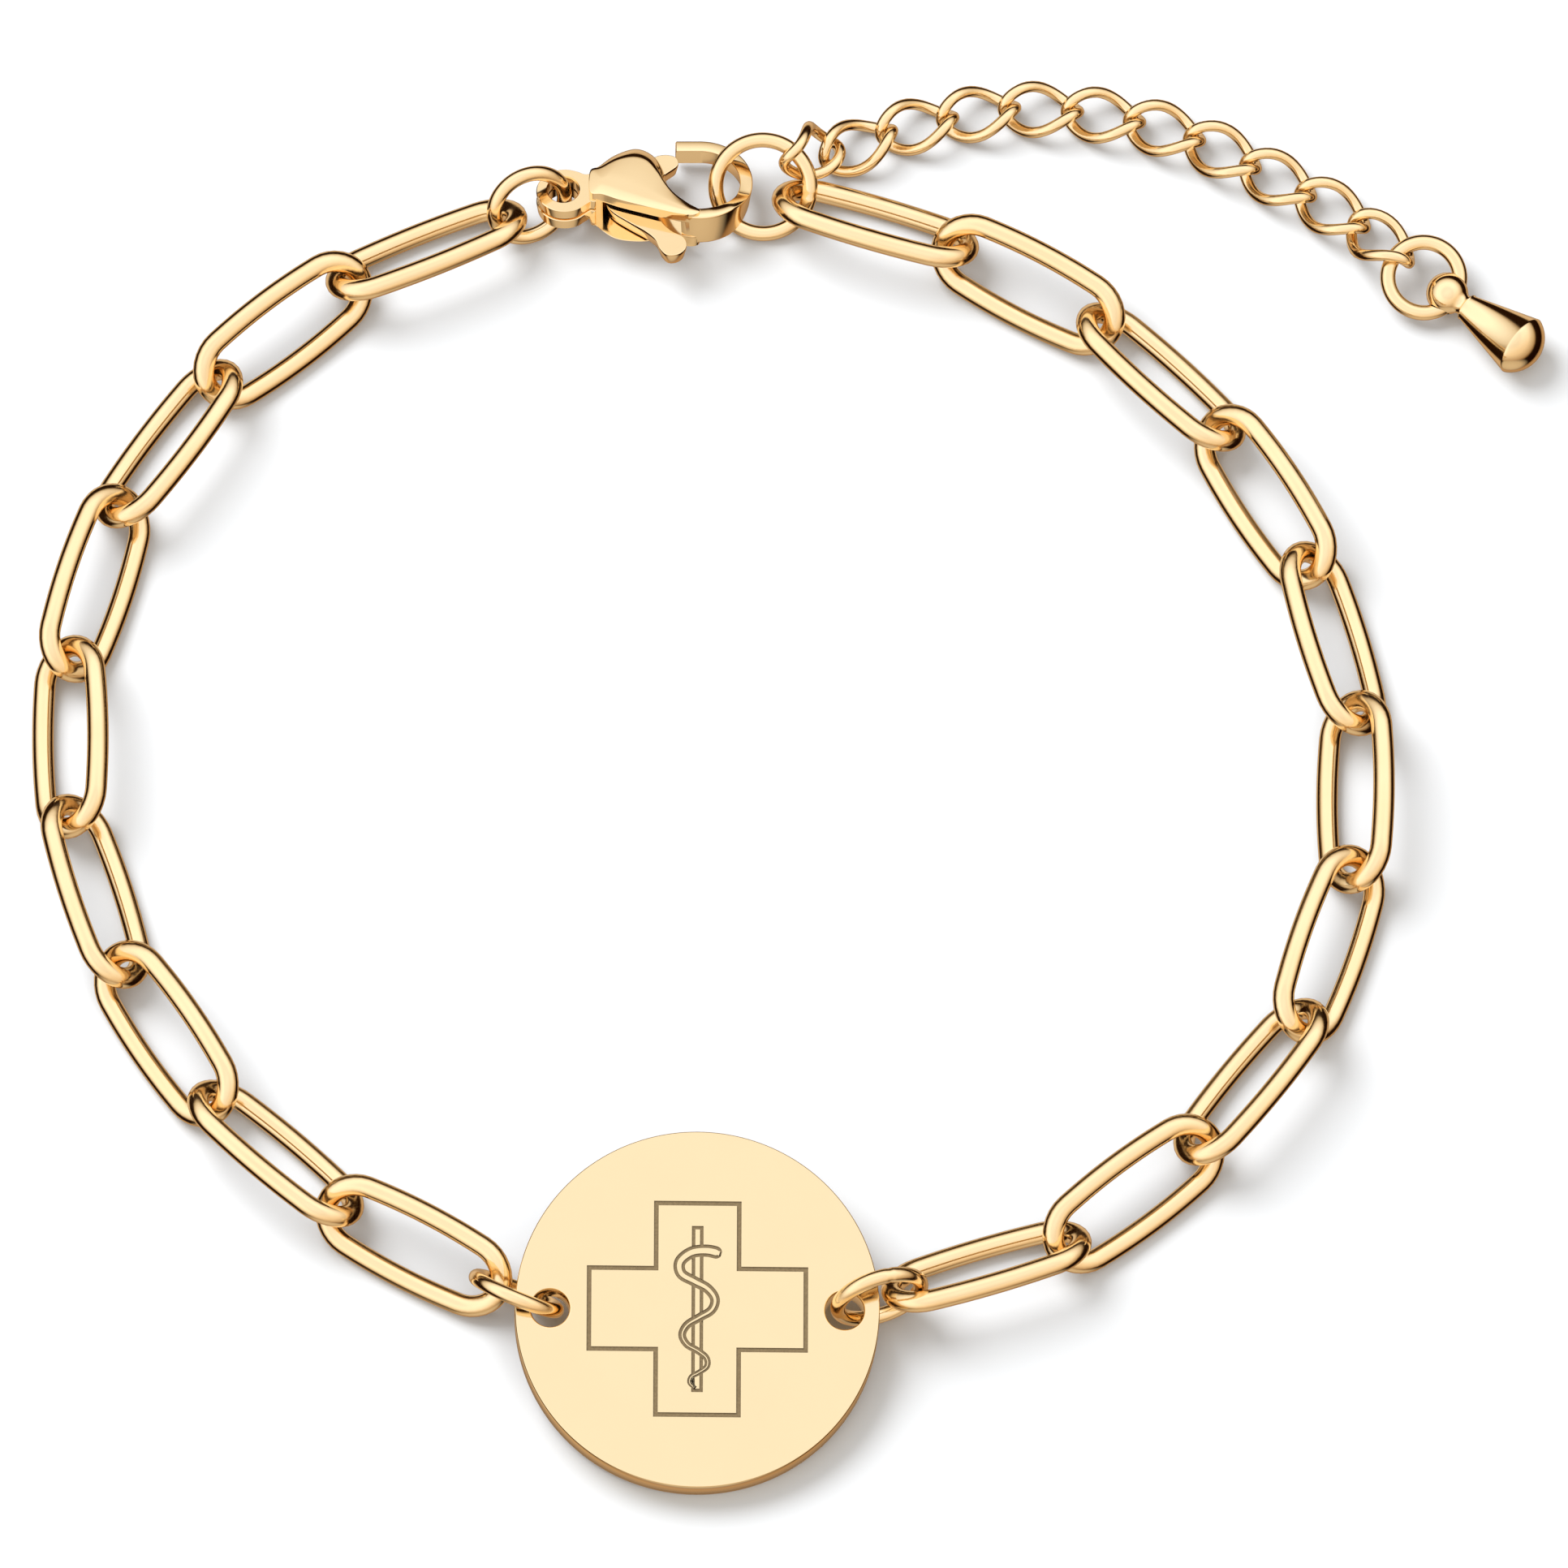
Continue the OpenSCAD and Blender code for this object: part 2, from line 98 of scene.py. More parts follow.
# %% [markdown]
# ## Gold, once for all the pieces
# The whole bracelet is plated steel with one warm, pale gold. Polished metal
# has almost no colour of its own in a picture: it shows the room, tinted. What
# makes it look made, and not computed, is small: the tint wanders a little,
# and tumbling leaves a soft, uneven gloss and hairlines too fine to see one
# by one. Several materials need both, so each is a node group with named
# inputs, and each material sets its own amounts.

# %% Node group: a tint that wanders
def new_group(name, inputs, outputs):
    group = bpy.data.node_groups.new(name, "ShaderNodeTree")
    for label, kind, value in inputs:
        socket = group.interface.new_socket(label, in_out="INPUT", socket_type=kind)
        socket.default_value = value
    for label, kind in outputs:
        group.interface.new_socket(label, in_out="OUTPUT", socket_type=kind)
    return group, group.nodes.new("NodeGroupInput"), group.nodes.new("NodeGroupOutput")


gold_tint, given, result = new_group(
    "gold_tint",
    [("Pale", "NodeSocketColor", (0.93, 0.71, 0.42, 1)),
     ("Deep", "NodeSocketColor", (0.84, 0.58, 0.30, 1)),
     ("Patch size", "NodeSocketFloat", 400.0),
     ("Amount", "NodeSocketFloat", 0.5)],
    [("Color", "NodeSocketColor")])
where = gold_tint.nodes.new("ShaderNodeTexCoord")
patches = gold_tint.nodes.new("ShaderNodeTexNoise")
patches.inputs["Detail"].default_value = 3
share = gold_tint.nodes.new("ShaderNodeMath")
share.operation = "MULTIPLY"
mixed = gold_tint.nodes.new("ShaderNodeMix")
mixed.data_type = "RGBA"
link = gold_tint.links.new
link(where.outputs["Object"], patches.inputs["Vector"])
link(given.outputs["Patch size"], patches.inputs["Scale"])
link(patches.outputs["Fac"], share.inputs[0])
link(given.outputs["Amount"], share.inputs[1])
link(share.outputs["Value"], mixed.inputs["Factor"])
link(given.outputs["Pale"], mixed.inputs["A"])
link(given.outputs["Deep"], mixed.inputs["B"])
link(mixed.outputs["Result"], result.inputs["Color"])
print("group:", gold_tint.name)

# %% Node group: polish that isn't perfect
CLOUDS_A_METRE, RIPPLES_A_METRE = 900, 700
HAIRLINES_A_METRE, HAIRLINE_WAY = (400, 9000, 9000), (0.3, 0.5, 0.7)
HAIRLINE_HEIGHT, RIPPLE_HEIGHT = 0.000002, 0.00002
polish, given, result = new_group(
    "tumbled_polish",
    [("Gloss", "NodeSocketFloat", 0.12),
     ("Unevenness", "NodeSocketFloat", 0.06),
     ("Hairlines", "NodeSocketFloat", 0.1),
     ("Ripple", "NodeSocketFloat", 0.1)],
    [("Roughness", "NodeSocketFloat"), ("Normal", "NodeSocketVector")])
where = polish.nodes.new("ShaderNodeTexCoord")
cloud = polish.nodes.new("ShaderNodeTexNoise")
cloud.inputs["Scale"].default_value = CLOUDS_A_METRE
cloud.inputs["Detail"].default_value = 4
uneven = polish.nodes.new("ShaderNodeMath")
uneven.operation = "MULTIPLY_ADD"
stretch = polish.nodes.new("ShaderNodeMapping")
stretch.inputs["Rotation"].default_value = HAIRLINE_WAY
stretch.inputs["Scale"].default_value = HAIRLINES_A_METRE
lines = polish.nodes.new("ShaderNodeTexNoise")
lines.inputs["Scale"].default_value = 1
fine = polish.nodes.new("ShaderNodeBump")
fine.inputs["Distance"].default_value = HAIRLINE_HEIGHT
swell = polish.nodes.new("ShaderNodeTexNoise")
swell.inputs["Scale"].default_value = RIPPLES_A_METRE
swell.inputs["Detail"].default_value = 1
broad = polish.nodes.new("ShaderNodeBump")
broad.inputs["Distance"].default_value = RIPPLE_HEIGHT
link = polish.links.new
link(where.outputs["Object"], cloud.inputs["Vector"])
link(cloud.outputs["Fac"], uneven.inputs[0])
link(given.outputs["Unevenness"], uneven.inputs[1])
link(given.outputs["Gloss"], uneven.inputs[2])
link(uneven.outputs["Value"], result.inputs["Roughness"])
link(where.outputs["Object"], stretch.inputs["Vector"])
link(stretch.outputs["Vector"], lines.inputs["Vector"])
link(where.outputs["Object"], swell.inputs["Vector"])
link(lines.outputs["Fac"], fine.inputs["Height"])
link(given.outputs["Hairlines"], fine.inputs["Strength"])
link(swell.outputs["Fac"], broad.inputs["Height"])
link(given.outputs["Ripple"], broad.inputs["Strength"])
link(broad.outputs["Normal"], fine.inputs["Normal"])
link(fine.outputs["Normal"], result.inputs["Normal"])
print("group:", polish.name)


# %% [markdown]
# A gold material is then one metal shader with the two groups in front of it.
# The disc is lapped flat and doesn't ripple at all; its gold is also painted a
# little darker than the rest, as painted shade against the bright tent that its
# flat face mirrors. The wire of the chains is tumbled, so its reflections are
# the softest and ripple the most. The clasp, cast and then polished, and the
# turned drop lie between the two.

# %% The gold materials
def gold(name, pale, deep, tint, gloss, unevenness, hairlines, ripple):
    material = bpy.data.materials.new(name)
    material.use_nodes = True
    nodes, link = material.node_tree.nodes, material.node_tree.links.new
    metal = nodes["Principled BSDF"]
    metal.inputs["Metallic"].default_value = 1.0
    colour = nodes.new("ShaderNodeGroup")
    colour.node_tree = gold_tint
    colour.inputs["Pale"].default_value = (*pale, 1)
    colour.inputs["Deep"].default_value = (*deep, 1)
    colour.inputs["Amount"].default_value = tint
    shine = nodes.new("ShaderNodeGroup")
    shine.node_tree = polish
    shine.inputs["Gloss"].default_value = gloss
    shine.inputs["Unevenness"].default_value = unevenness
    shine.inputs["Hairlines"].default_value = hairlines
    shine.inputs["Ripple"].default_value = ripple
    link(colour.outputs["Color"], metal.inputs["Base Color"])
    link(shine.outputs["Roughness"], metal.inputs["Roughness"])
    link(shine.outputs["Normal"], metal.inputs["Normal"])
    return material


PALE_GOLD = (0.97, 0.77, 0.48)
DEEP_GOLD = (0.90, 0.64, 0.33)
# Painted shade: the disc's gold is a darker copy of the chain's gold, toning down the bright reflection
# that its flat face takes from the tent.
DISC_GOLD_PAINTED_SHADE = (0.89, 0.72, 0.445)
wire_gold = gold("tumbled_gold_wire", PALE_GOLD, DEEP_GOLD, tint=0.6,
                 gloss=0.09, unevenness=0.10, hairlines=0.3, ripple=0.5)
disc_gold_with_painted_shade = gold("lapped_gold_disc_painted_shade", DISC_GOLD_PAINTED_SHADE, PALE_GOLD, tint=0.5,
                 gloss=0.08, unevenness=0.04, hairlines=0.1, ripple=0.0)
clasp_gold = gold("cast_gold_clasp", PALE_GOLD, DEEP_GOLD, tint=0.5,
                  gloss=0.08, unevenness=0.06, hairlines=0.15, ripple=0.25)
drop_gold = gold("turned_gold_drop", PALE_GOLD, DEEP_GOLD, tint=0.4,
                 gloss=0.07, unevenness=0.06, hairlines=0.15, ripple=0.2)
print("materials:", [m.name for m in (wire_gold, disc_gold_with_painted_shade, clasp_gold, drop_gold)])

# %% [markdown]
# ## Where each link lies
# A link's solid already lies at its own angle. Typing some forty poses again
# would be slow and easy to get wrong, so they are read from the solids: the
# directions in which a surface spreads most, less and least are the length,
# the width and the thin way of a link, and for a ring the least one is its
# axis. Each triangle counts by its area, so a finely cut bend pulls nothing
# to its side.

# %% Reading a pose from a solid
def pose_of(name):
    """Place of a node as a matrix, in millimetres: X its longest way, Z its thinnest."""
    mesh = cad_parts[name].data
    mesh.calc_loop_triangles()
    points = np.empty(len(mesh.vertices) * 3)
    mesh.vertices.foreach_get("co", points)
    points = points.reshape(-1, 3) / MM
    corners = np.empty(len(mesh.loop_triangles) * 3, dtype=np.int32)
    mesh.loop_triangles.foreach_get("vertices", corners)
    triangles = points[corners.reshape(-1, 3)]
    edge_a, edge_b = triangles[:, 1] - triangles[:, 0], triangles[:, 2] - triangles[:, 0]
    areas = np.linalg.norm(np.cross(edge_a, edge_b), axis=1) / 2
    middle = (areas[:, None] * triangles.mean(axis=1)).sum(axis=0) / areas.sum()
    centred = triangles - middle
    total = centred.sum(axis=1)
    # Second moments of a triangle: those of its corners and of their sum, by a twelfth of its area
    spread = np.einsum("n,nki,nkj->ij", areas / 12, centred, centred)
    spread += np.einsum("n,ni,nj->ij", areas / 12, total, total)
    ways = np.linalg.eigh(spread)[1][:, ::-1]
    if np.linalg.det(ways) < 0:
        ways[:, 2] *= -1
    place = Matrix([[*row, shift] for row, shift in zip(ways, middle)])
    place.resize_4x4()
    return place


print("first link lies at", [round(c, 2) for c in pose_of("link_left_1").translation])

# %% [markdown]
# ## Wire that closes on itself
# Every ring and link is a length of round wire bent into a closed loop. A
# curve with a round bevel would draw it at once. Here one round of the wire is
# spun about Z instead, because that leaves even quads that can then be bent
# along any other closed line: the ring stays a ring, and the same mesh
# becomes a paperclip link or a twisted curb link.

# %% Spinning and bending wire
SMALL_TURN = 0.01


def spun_wire(radius, wire, rounds, sides):
    """A ring of round wire about Z: so many rounds along it, so many sides round the wire."""
    bm = bmesh.new()
    section = bmesh.ops.create_circle(bm, segments=sides, radius=wire / 2)["verts"]
    bmesh.ops.rotate(bm, verts=section, matrix=Matrix.Rotation(math.pi / 2, 3, "X"))
    bmesh.ops.translate(bm, verts=section, vec=(radius, 0, 0))
    bmesh.ops.spin(bm, geom=bm.edges[:], axis=(0, 0, 1), angle=2 * math.pi, steps=rounds,
                   use_merge=True)
    bmesh.ops.recalc_face_normals(bm, faces=bm.faces[:])
    return bm


def bend_wire(bm, radius, line, up):
    """Moves a spun wire onto another closed line; up says where its flat side looks."""
    for vert in bm.verts:
        turn = math.atan2(vert.co.y, vert.co.x)
        out = math.hypot(vert.co.x, vert.co.y) - radius
        along = line(turn + SMALL_TURN) - line(turn - SMALL_TURN)
        side = along.cross(up(turn)).normalized()
        top = side.cross(along).normalized()
        vert.co = line(turn) + out * side + vert.co.z * top


# %% [markdown]
# A paperclip link is an oval with long flanks. Drawn by a ruler the flanks
# would be dead straight and the ends true half rings; on the real chain the
# flanks bow out by about a tenth of a millimetre and the ends narrow a little,
# as wire does that is pulled round a former. That tenth bends the long
# reflections, so it is worth having.

# %% The paperclip link's line
LINK_LENGTH, LINK_WIDTH, LINK_WIRE = 9.0, 3.75, 0.9
LINK_NARROW, NARROW_FROM, LINK_BOW = 0.05, 0.4, 0.045
LINK_SPIN, LINK_ROUNDS, LINK_SIDES = 3, 72, 24


def paperclip_line(turn):
    """The wire's middle: quarter bend, flank and quarter bend, and the same again below."""
    reach = (LINK_WIDTH - LINK_WIRE) / 2
    flank = (LINK_LENGTH - LINK_WIDTH) / 2
    quarter = math.pi / 2 * reach
    turn = math.remainder(turn, 2 * math.pi)
    run = abs(turn) / math.pi * (2 * quarter + 2 * flank)
    if run < quarter:
        x, y = flank + reach * math.cos(run / reach), reach * math.sin(run / reach)
    elif run < quarter + 2 * flank:
        x, y = flank - (run - quarter), reach
    else:
        angle = math.pi / 2 + (run - quarter - 2 * flank) / reach
        x, y = -flank + reach * math.cos(angle), reach * math.sin(angle)
    off_middle = (x / flank) ** 2
    y *= 1 + LINK_NARROW * (NARROW_FROM - off_middle) + LINK_BOW * max(0, 1 - off_middle)
    return Vector((x, math.copysign(y, turn), 0))


def flat(turn):
    return Vector((0, 0, 1))


print("middle of a flank, mm from the link's axis:", round(paperclip_line(math.pi / 2).y, 3))

# %% The paperclip chains
links = [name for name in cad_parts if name.startswith(("link_left_", "link_right_"))]
for name in links:
    wire = spun_wire(LINK_SPIN, LINK_WIRE, LINK_ROUNDS, LINK_SIDES)
    bend_wire(wire, LINK_SPIN, paperclip_line, flat)
    finish_piece(name + "_wire", wire, pose_of(name), wire_gold, [name])
print("paperclip links:", len(links))

# %% [markdown]
# A curb link is bent round first and twisted after, so its two ends stand
# crosswise and the chain lies flat. The line is an oval; at each place along
# it the oval is turned about its long axis, most at one end, not at all in
# the middle, and the other way at the other end.

# %% The extension chain
CURB_LENGTH, CURB_WIDTH, CURB_WIRE = 3.65, 2.5, 0.48
CURB_TWIST = math.radians(58)
CURB_SPIN, CURB_ROUNDS, CURB_SIDES = 1.5, 48, 16


def curb_line(turn):
    twist = -CURB_TWIST * math.cos(turn)
    length = (CURB_LENGTH - CURB_WIRE) / 2 * math.cos(turn)
    width = (CURB_WIDTH - CURB_WIRE) / 2 * math.sin(turn)
    return Vector((length, width * math.cos(twist), width * math.sin(twist)))


def curb_up(turn):
    twist = -CURB_TWIST * math.cos(turn)
    return Vector((0, -math.sin(twist), math.cos(twist)))


curbs = [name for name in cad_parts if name.startswith("curb_link_")]
for name in curbs:
    wire = spun_wire(CURB_SPIN, CURB_WIRE, CURB_ROUNDS, CURB_SIDES)
    bend_wire(wire, CURB_SPIN, curb_line, curb_up)
    finish_piece(name + "_wire", wire, pose_of(name), wire_gold, [name])
print("curb links:", len(curbs))

# %% [markdown]
# A jump ring is a coil's single turn, closed with pliers. Where its two ends
# meet, a hairline is left. A groove could be cut there; pinching one round of
# the spun wire by a few hundredths of a millimetre reads the same and keeps
# the ring one closed surface.

# %% The jump rings
RING_WIRE, RING_ROUNDS, RING_SIDES = 0.64, 96, 24
SEAM_AT, SEAM_REACH, SEAM_DEPTH = math.radians(101.25), math.radians(1), 0.025
RING_SIZES = {"disc_ring_left": 4.2, "disc_ring_right": 4.2, "clasp_ring": 3.8,
              "end_ring": 4.6, "drop_ring": 3.65}
for name, size in RING_SIZES.items():
    radius = (size - RING_WIRE) / 2
    ring = spun_wire(radius, RING_WIRE, RING_ROUNDS, RING_SIDES)
    for vert in ring.verts:
        spoke = Vector((vert.co.x, vert.co.y, 0)).normalized() * radius
        if abs(math.atan2(vert.co.y, vert.co.x) - SEAM_AT) < SEAM_REACH:
            vert.co = spoke + (vert.co - spoke) * (1 - SEAM_DEPTH / (RING_WIRE / 2))
    finish_piece(name + "_wire", ring, pose_of(name), wire_gold, [name])
print("jump rings:", len(RING_SIZES))

# %% [markdown]
# ## Carving
# The disc is drilled and engraved, and the lever and the drop are drilled too.
# Holes could be modelled into the faces by hand, but a saw and a drill are
# what the workshop uses, so a Boolean does the same here: one shape is taken
# away from another, and both are used up. Asked for a union, it joins them
# into one closed surface, which is how the clasp becomes a single casting.

# %% A Boolean for two bmeshes
def carve(block, tool, operation="DIFFERENCE"):
    """Takes the tool away from the block, or joins the two; neither is left."""
    both = []
    for shape in (block, tool):
        mesh = bpy.data.meshes.new("carving")
        shape.to_mesh(mesh)
        shape.free()
        both.append(bpy.data.objects.new("carving", mesh))
        bpy.context.scene.collection.objects.link(both[-1])
    cut = both[0].modifiers.new("cut", "BOOLEAN")
    cut.object, cut.operation, cut.solver = both[1], operation, "MANIFOLD"
    carved = bmesh.new()
    carved.from_object(both[0], bpy.context.evaluated_depsgraph_get())
    for spent in both:
        mesh = spent.data
        bpy.data.objects.remove(spent)
        bpy.data.meshes.remove(mesh)
    return carved


def only(parts, kind):
    """Of a bmesh operation's mixed result, just the vertices or just the edges."""
    return [part for part in parts if isinstance(part, kind)]


def prism(corners, low, high):
    """A flat outline given a thickness from low to high."""
    bm = bmesh.new()
    bm.faces.new([bm.verts.new((x, y, low)) for x, y in corners])
    lid = bmesh.ops.extrude_face_region(bm, geom=bm.faces[:], use_keep_orig=True)["geom"]
    bmesh.ops.translate(bm, verts=only(lid, bmesh.types.BMVert), vec=(0, 0, high - low))
    bmesh.ops.recalc_face_normals(bm, faces=bm.faces[:])
    return bm


# %% [markdown]
# Soft outlines that no ready shape gives are drawn as a curve through a few
# points. A solid is then made by bridging such outlines from level to level,
# like the contour lines of a small hill. Where the last level is joined to the
# first, the hill becomes a closed ring.

# %% Contour lines, bridged
def for_each(points, value):
    """One value for all the points as a list, or a list of values as it is."""
    return value if isinstance(value, list) else [value] * len(points)


def shrink(points, amount):
    """The same closed outline, moved inwards by one amount, or by a list of them."""
    moved = []
    for i, (here, inset) in enumerate(zip(points, for_each(points, amount))):
        ahead = (points[(i + 1) % len(points)] - points[i - 1]).normalized()
        moved.append(here + inset * Vector((-ahead.y, ahead.x)))
    return moved


def hill(levels, ring=False):
    """A closed solid from outlines at their heights; a ring joins the last level to the first."""
    bm = bmesh.new()
    loops = []
    for points, height in levels:
        verts = [bm.verts.new((p[0], p[1], z)) for p, z in zip(points, for_each(points, height))]
        loops.append([bm.edges.new(pair) for pair in zip(verts, verts[1:] + verts[:1])])
    for lower, upper in zip(loops, loops[1:] + loops[:1] if ring else loops[1:]):
        bmesh.ops.bridge_loops(bm, edges=lower + upper)
    if not ring:
        for end in (loops[0], loops[-1]):
            bmesh.ops.edgeloop_fill(bm, edges=end)
    bmesh.ops.recalc_face_normals(bm, faces=bm.faces[:])
    return bm


# %% [markdown]
# ## The disc
# A disc like this is punched from sheet, its edge is broken all round and its
# face is lapped. The thin bevel matters more than it seems: it is the bright
# and dark line that parts the face from the rim. The drill is given flared
# ends, so that each hole comes out with a broken edge of its own.

# %% The blank and its two holes
DISC_SIZE, DISC_THICKNESS = 15.0, 1.5
HOLE_SIZE, HOLE_EDGE = 1.6, 0.65
BROKEN_EDGE, EDGE_STEPS = 0.08, ((0.03, 0.065), (0.03, 0.015))
disc = bmesh.new()
bmesh.ops.create_cone(disc, cap_ends=True, segments=180, radius1=DISC_SIZE / 2, radius2=DISC_SIZE / 2,
                      depth=DISC_THICKNESS - 2 * BROKEN_EDGE)
for width, height in EDGE_STEPS:
    ends = [f for f in disc.faces if len(f.verts) > 4]
    bmesh.ops.inset_region(disc, faces=ends, thickness=width, depth=height, use_even_offset=True)


def drill(size, thickness):
    """A drill along Z, flared where it leaves a plate of that thickness."""
    radius, half = size / 2, thickness / 2
    profile = [(radius, 0)]
    for step in range(4):
        angle = math.radians(30 * step)
        flare = BROKEN_EDGE * (1 - math.cos(angle))
        profile.append((radius + flare, half - BROKEN_EDGE * (1 - math.sin(angle))))
    profile += [(radius + 2 * BROKEN_EDGE, half + 1), (0, half + 1)]
    bm = bmesh.new()
    points = [bm.verts.new((r, 0, z)) for r, z in profile]
    for pair in zip(points, points[1:]):
        bm.edges.new(pair)
    bmesh.ops.spin(bm, geom=bm.edges[:], axis=(0, 0, 1), angle=2 * math.pi, steps=48, use_merge=True)
    bmesh.ops.mirror(bm, geom=bm.verts[:] + bm.edges[:] + bm.faces[:], axis="Z", merge_dist=0.001)
    bmesh.ops.remove_doubles(bm, verts=bm.verts[:], dist=0.0005)
    bmesh.ops.recalc_face_normals(bm, faces=bm.faces[:])
    return bm


hole_at = DISC_SIZE / 2 - HOLE_EDGE - HOLE_SIZE / 2
for side in (-1, 1):
    bit = drill(HOLE_SIZE, DISC_THICKNESS)
    bmesh.ops.translate(bit, verts=bit.verts[:], vec=(side * hole_at, 0, 0))
    disc = carve(disc, bit)
print("disc faces after drilling:", len(disc.faces))

# %% [markdown]
# The engraving is a plain outlined cross with a staff and a serpent in it, an
# old sign for medicine, drawn here for this disc. A laser draws such lines as
# thin grooves with a dull, brown floor. A painted mask would do from afar, but
# real grooves keep their crisp edge at any distance. Each figure is a flat
# shape with a slightly smaller one taken out of it, which leaves its outline.
# The cutters stand proud of the face, so that no two of their ends coincide.

# %% The cross
LINE_WIDTH, LINE_DEPTH = 0.19, 0.05
FACE, PROUD = DISC_THICKNESS / 2, 1
FLOOR = FACE - LINE_DEPTH
CROSS_SPAN, CROSS_ARM = 9.1, 3.6


def cross_corners(span, arm):
    far, near = span / 2, arm / 2
    quarter = [(far, near), (near, near), (near, far)]
    turned = [Matrix.Rotation(math.radians(90 * k), 2) @ Vector(c) for k in range(4) for c in quarter]
    return [tuple(c) for c in turned]


inner_cross = cross_corners(CROSS_SPAN - 2 * LINE_WIDTH, CROSS_ARM - 2 * LINE_WIDTH)
cross = carve(prism(cross_corners(CROSS_SPAN, CROSS_ARM), FLOOR, FACE + PROUD),
              prism(inner_cross, 0, FACE + 2 * PROUD))
print("cross faces:", len(cross.faces))

# %% The serpent, from a few points on its winding back
SERPENT_BACK = [(0.98, 2.32), (0.4, 2.46), (-0.25, 2.38), (-0.72, 1.98), (-0.66, 1.48), (-0.12, 1.16),
                (0.42, 0.86), (0.72, 0.42), (0.58, -0.04), (0.08, -0.36), (-0.42, -0.68), (-0.62, -1.1),
                (-0.42, -1.5), (0.02, -1.76), (0.38, -2.06), (0.4, -2.42), (0.06, -2.68), (-0.24, -2.86),
                (-0.3, -3.12), (-0.06, -3.34)]
SERPENT_WIDTH, BLUNT_HEAD, TAIL_TAPER = 0.54, 0.02, 0.7
FINE_LINE, THIN_SHARE = 0.145, 0.85


def smooth_run(points, steps, closed=False):
    """Points on a soft curve through the given ones, so many steps from each to the next."""
    count = len(points)
    run = []
    for i in range(count if closed else count - 1):
        places = [(i + k) % count if closed else min(max(i + k, 0), count - 1) for k in (-1, 0, 1, 2)]
        a, b, c, d = (Vector(points[place]) for place in places)
        for step in range(steps):
            t = step / steps
            slope, bend, twist = c - a, 2 * a - 5 * b + 4 * c - d, 3 * b - a - 3 * c + d
            run.append((2 * b + slope * t + bend * t * t + twist * t ** 3) / 2)
    return run if closed else run + [Vector(points[-1])]


def serpent():
    """The outline of a ribbon along the back, round at the head and thin at the tail; its half widths."""
    back = smooth_run(SERPENT_BACK, 8)
    left, right, halves = [], [], []
    run, cap = BLUNT_HEAD, SERPENT_WIDTH / 2
    for i, here in enumerate(back):
        run += (here - back[max(i - 1, 0)]).length
        ahead = back[min(i + 1, len(back) - 1)] - back[max(i - 1, 0)]
        across = Vector((-ahead.y, ahead.x)).normalized()
        round_off = math.sqrt(1 - (1 - min(run / cap, 1)) ** 2)
        halves.append(cap * round_off * (1 - TAIL_TAPER * i / len(back)))
        left.append(here + across * halves[-1])
        right.append(here - across * halves[-1])
    return right + left[::-1], halves + halves[::-1]


def groove(outline, line):
    """The laser's path just inside an outline, as a solid ring to be cut out of the disc."""
    inside, high = shrink(outline, line), FACE + PROUD
    return hill([(outline, FLOOR), (outline, high), (inside, high), (inside, FLOOR)], ring=True)


body, halves = serpent()
outline = groove(body, [min(FINE_LINE, THIN_SHARE * half) for half in halves])
print("serpent faces:", len(outline.faces))

# %% The staff, behind the serpent
STAFF_LENGTH, STAFF_WIDTH = 7.0, 0.48


def staff(slimmer, low, high):
    half, end = STAFF_WIDTH / 2 - slimmer, STAFF_LENGTH / 2 - slimmer
    return prism([(-half, -end), (half, -end), (half, end), (-half, end)], low, high)


rod = carve(staff(0, FLOOR, FACE + PROUD), staff(FINE_LINE, 0, FACE + 2 * PROUD))
rod = carve(rod, hill([(body, 0), (body, FACE + 3 * PROUD)]))
for figure in (cross, outline, rod):
    disc = carve(disc, figure)
print("disc faces after engraving:", len(disc.faces))

# %% [markdown]
# The laser leaves a fine oxide crust in the line, duller and browner than the
# gold. Only the floor and the walls of the grooves take it: they are the faces
# just below the disc's face, well inside the rim and the holes.

# %% The engraved line's own finish
CRUST_PALE, CRUST_DEEP = (0.27, 0.195, 0.10, 1), (0.12, 0.085, 0.04, 1)
CRUST_PATCHES_A_METRE = 12000
engraved = bpy.data.materials.new("laser_engraved_line")
engraved.use_nodes = True
nodes, link = engraved.node_tree.nodes, engraved.node_tree.links.new
crust = nodes["Principled BSDF"]
crust.inputs["Metallic"].default_value = 0.35
crust.inputs["Roughness"].default_value = 0.55
colour = nodes.new("ShaderNodeGroup")
colour.node_tree = gold_tint
colour.inputs["Pale"].default_value = CRUST_PALE
colour.inputs["Deep"].default_value = CRUST_DEEP
colour.inputs["Patch size"].default_value = CRUST_PATCHES_A_METRE
colour.inputs["Amount"].default_value = 1.0
link(colour.outputs["Color"], crust.inputs["Base Color"])

FIGURE_REACH, SKIN = CROSS_SPAN / 2 + 0.05, 0.001
for face in disc.faces:
    middle = face.calc_center_median()
    inside = max(abs(middle.x), abs(middle.y)) < FIGURE_REACH
    face.material_index = int(inside and FACE - 1.5 * LINE_DEPTH < middle.z < FACE - SKIN)
print("engraved faces:", sum(f.material_index for f in disc.faces))

# %% The disc in its place
DISC_LEAN, DISC_SIDE_LEAN = math.radians(8), math.radians(1.5)


def middle_of(node):
    """The middle of a solid's box, in millimetres."""
    low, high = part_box(node)
    return (Vector(low) + Vector(high)) / 2 / MM


disc_place = (Matrix.Translation(middle_of("disc")) @ Matrix.Rotation(DISC_SIDE_LEAN, 4, "Y")
              @ Matrix.Rotation(DISC_LEAN, 4, "X"))
disc_piece = finish_piece("disc_engraved", disc, disc_place, disc_gold_with_painted_shade, ["disc"])
disc_piece.data.materials.append(engraved)


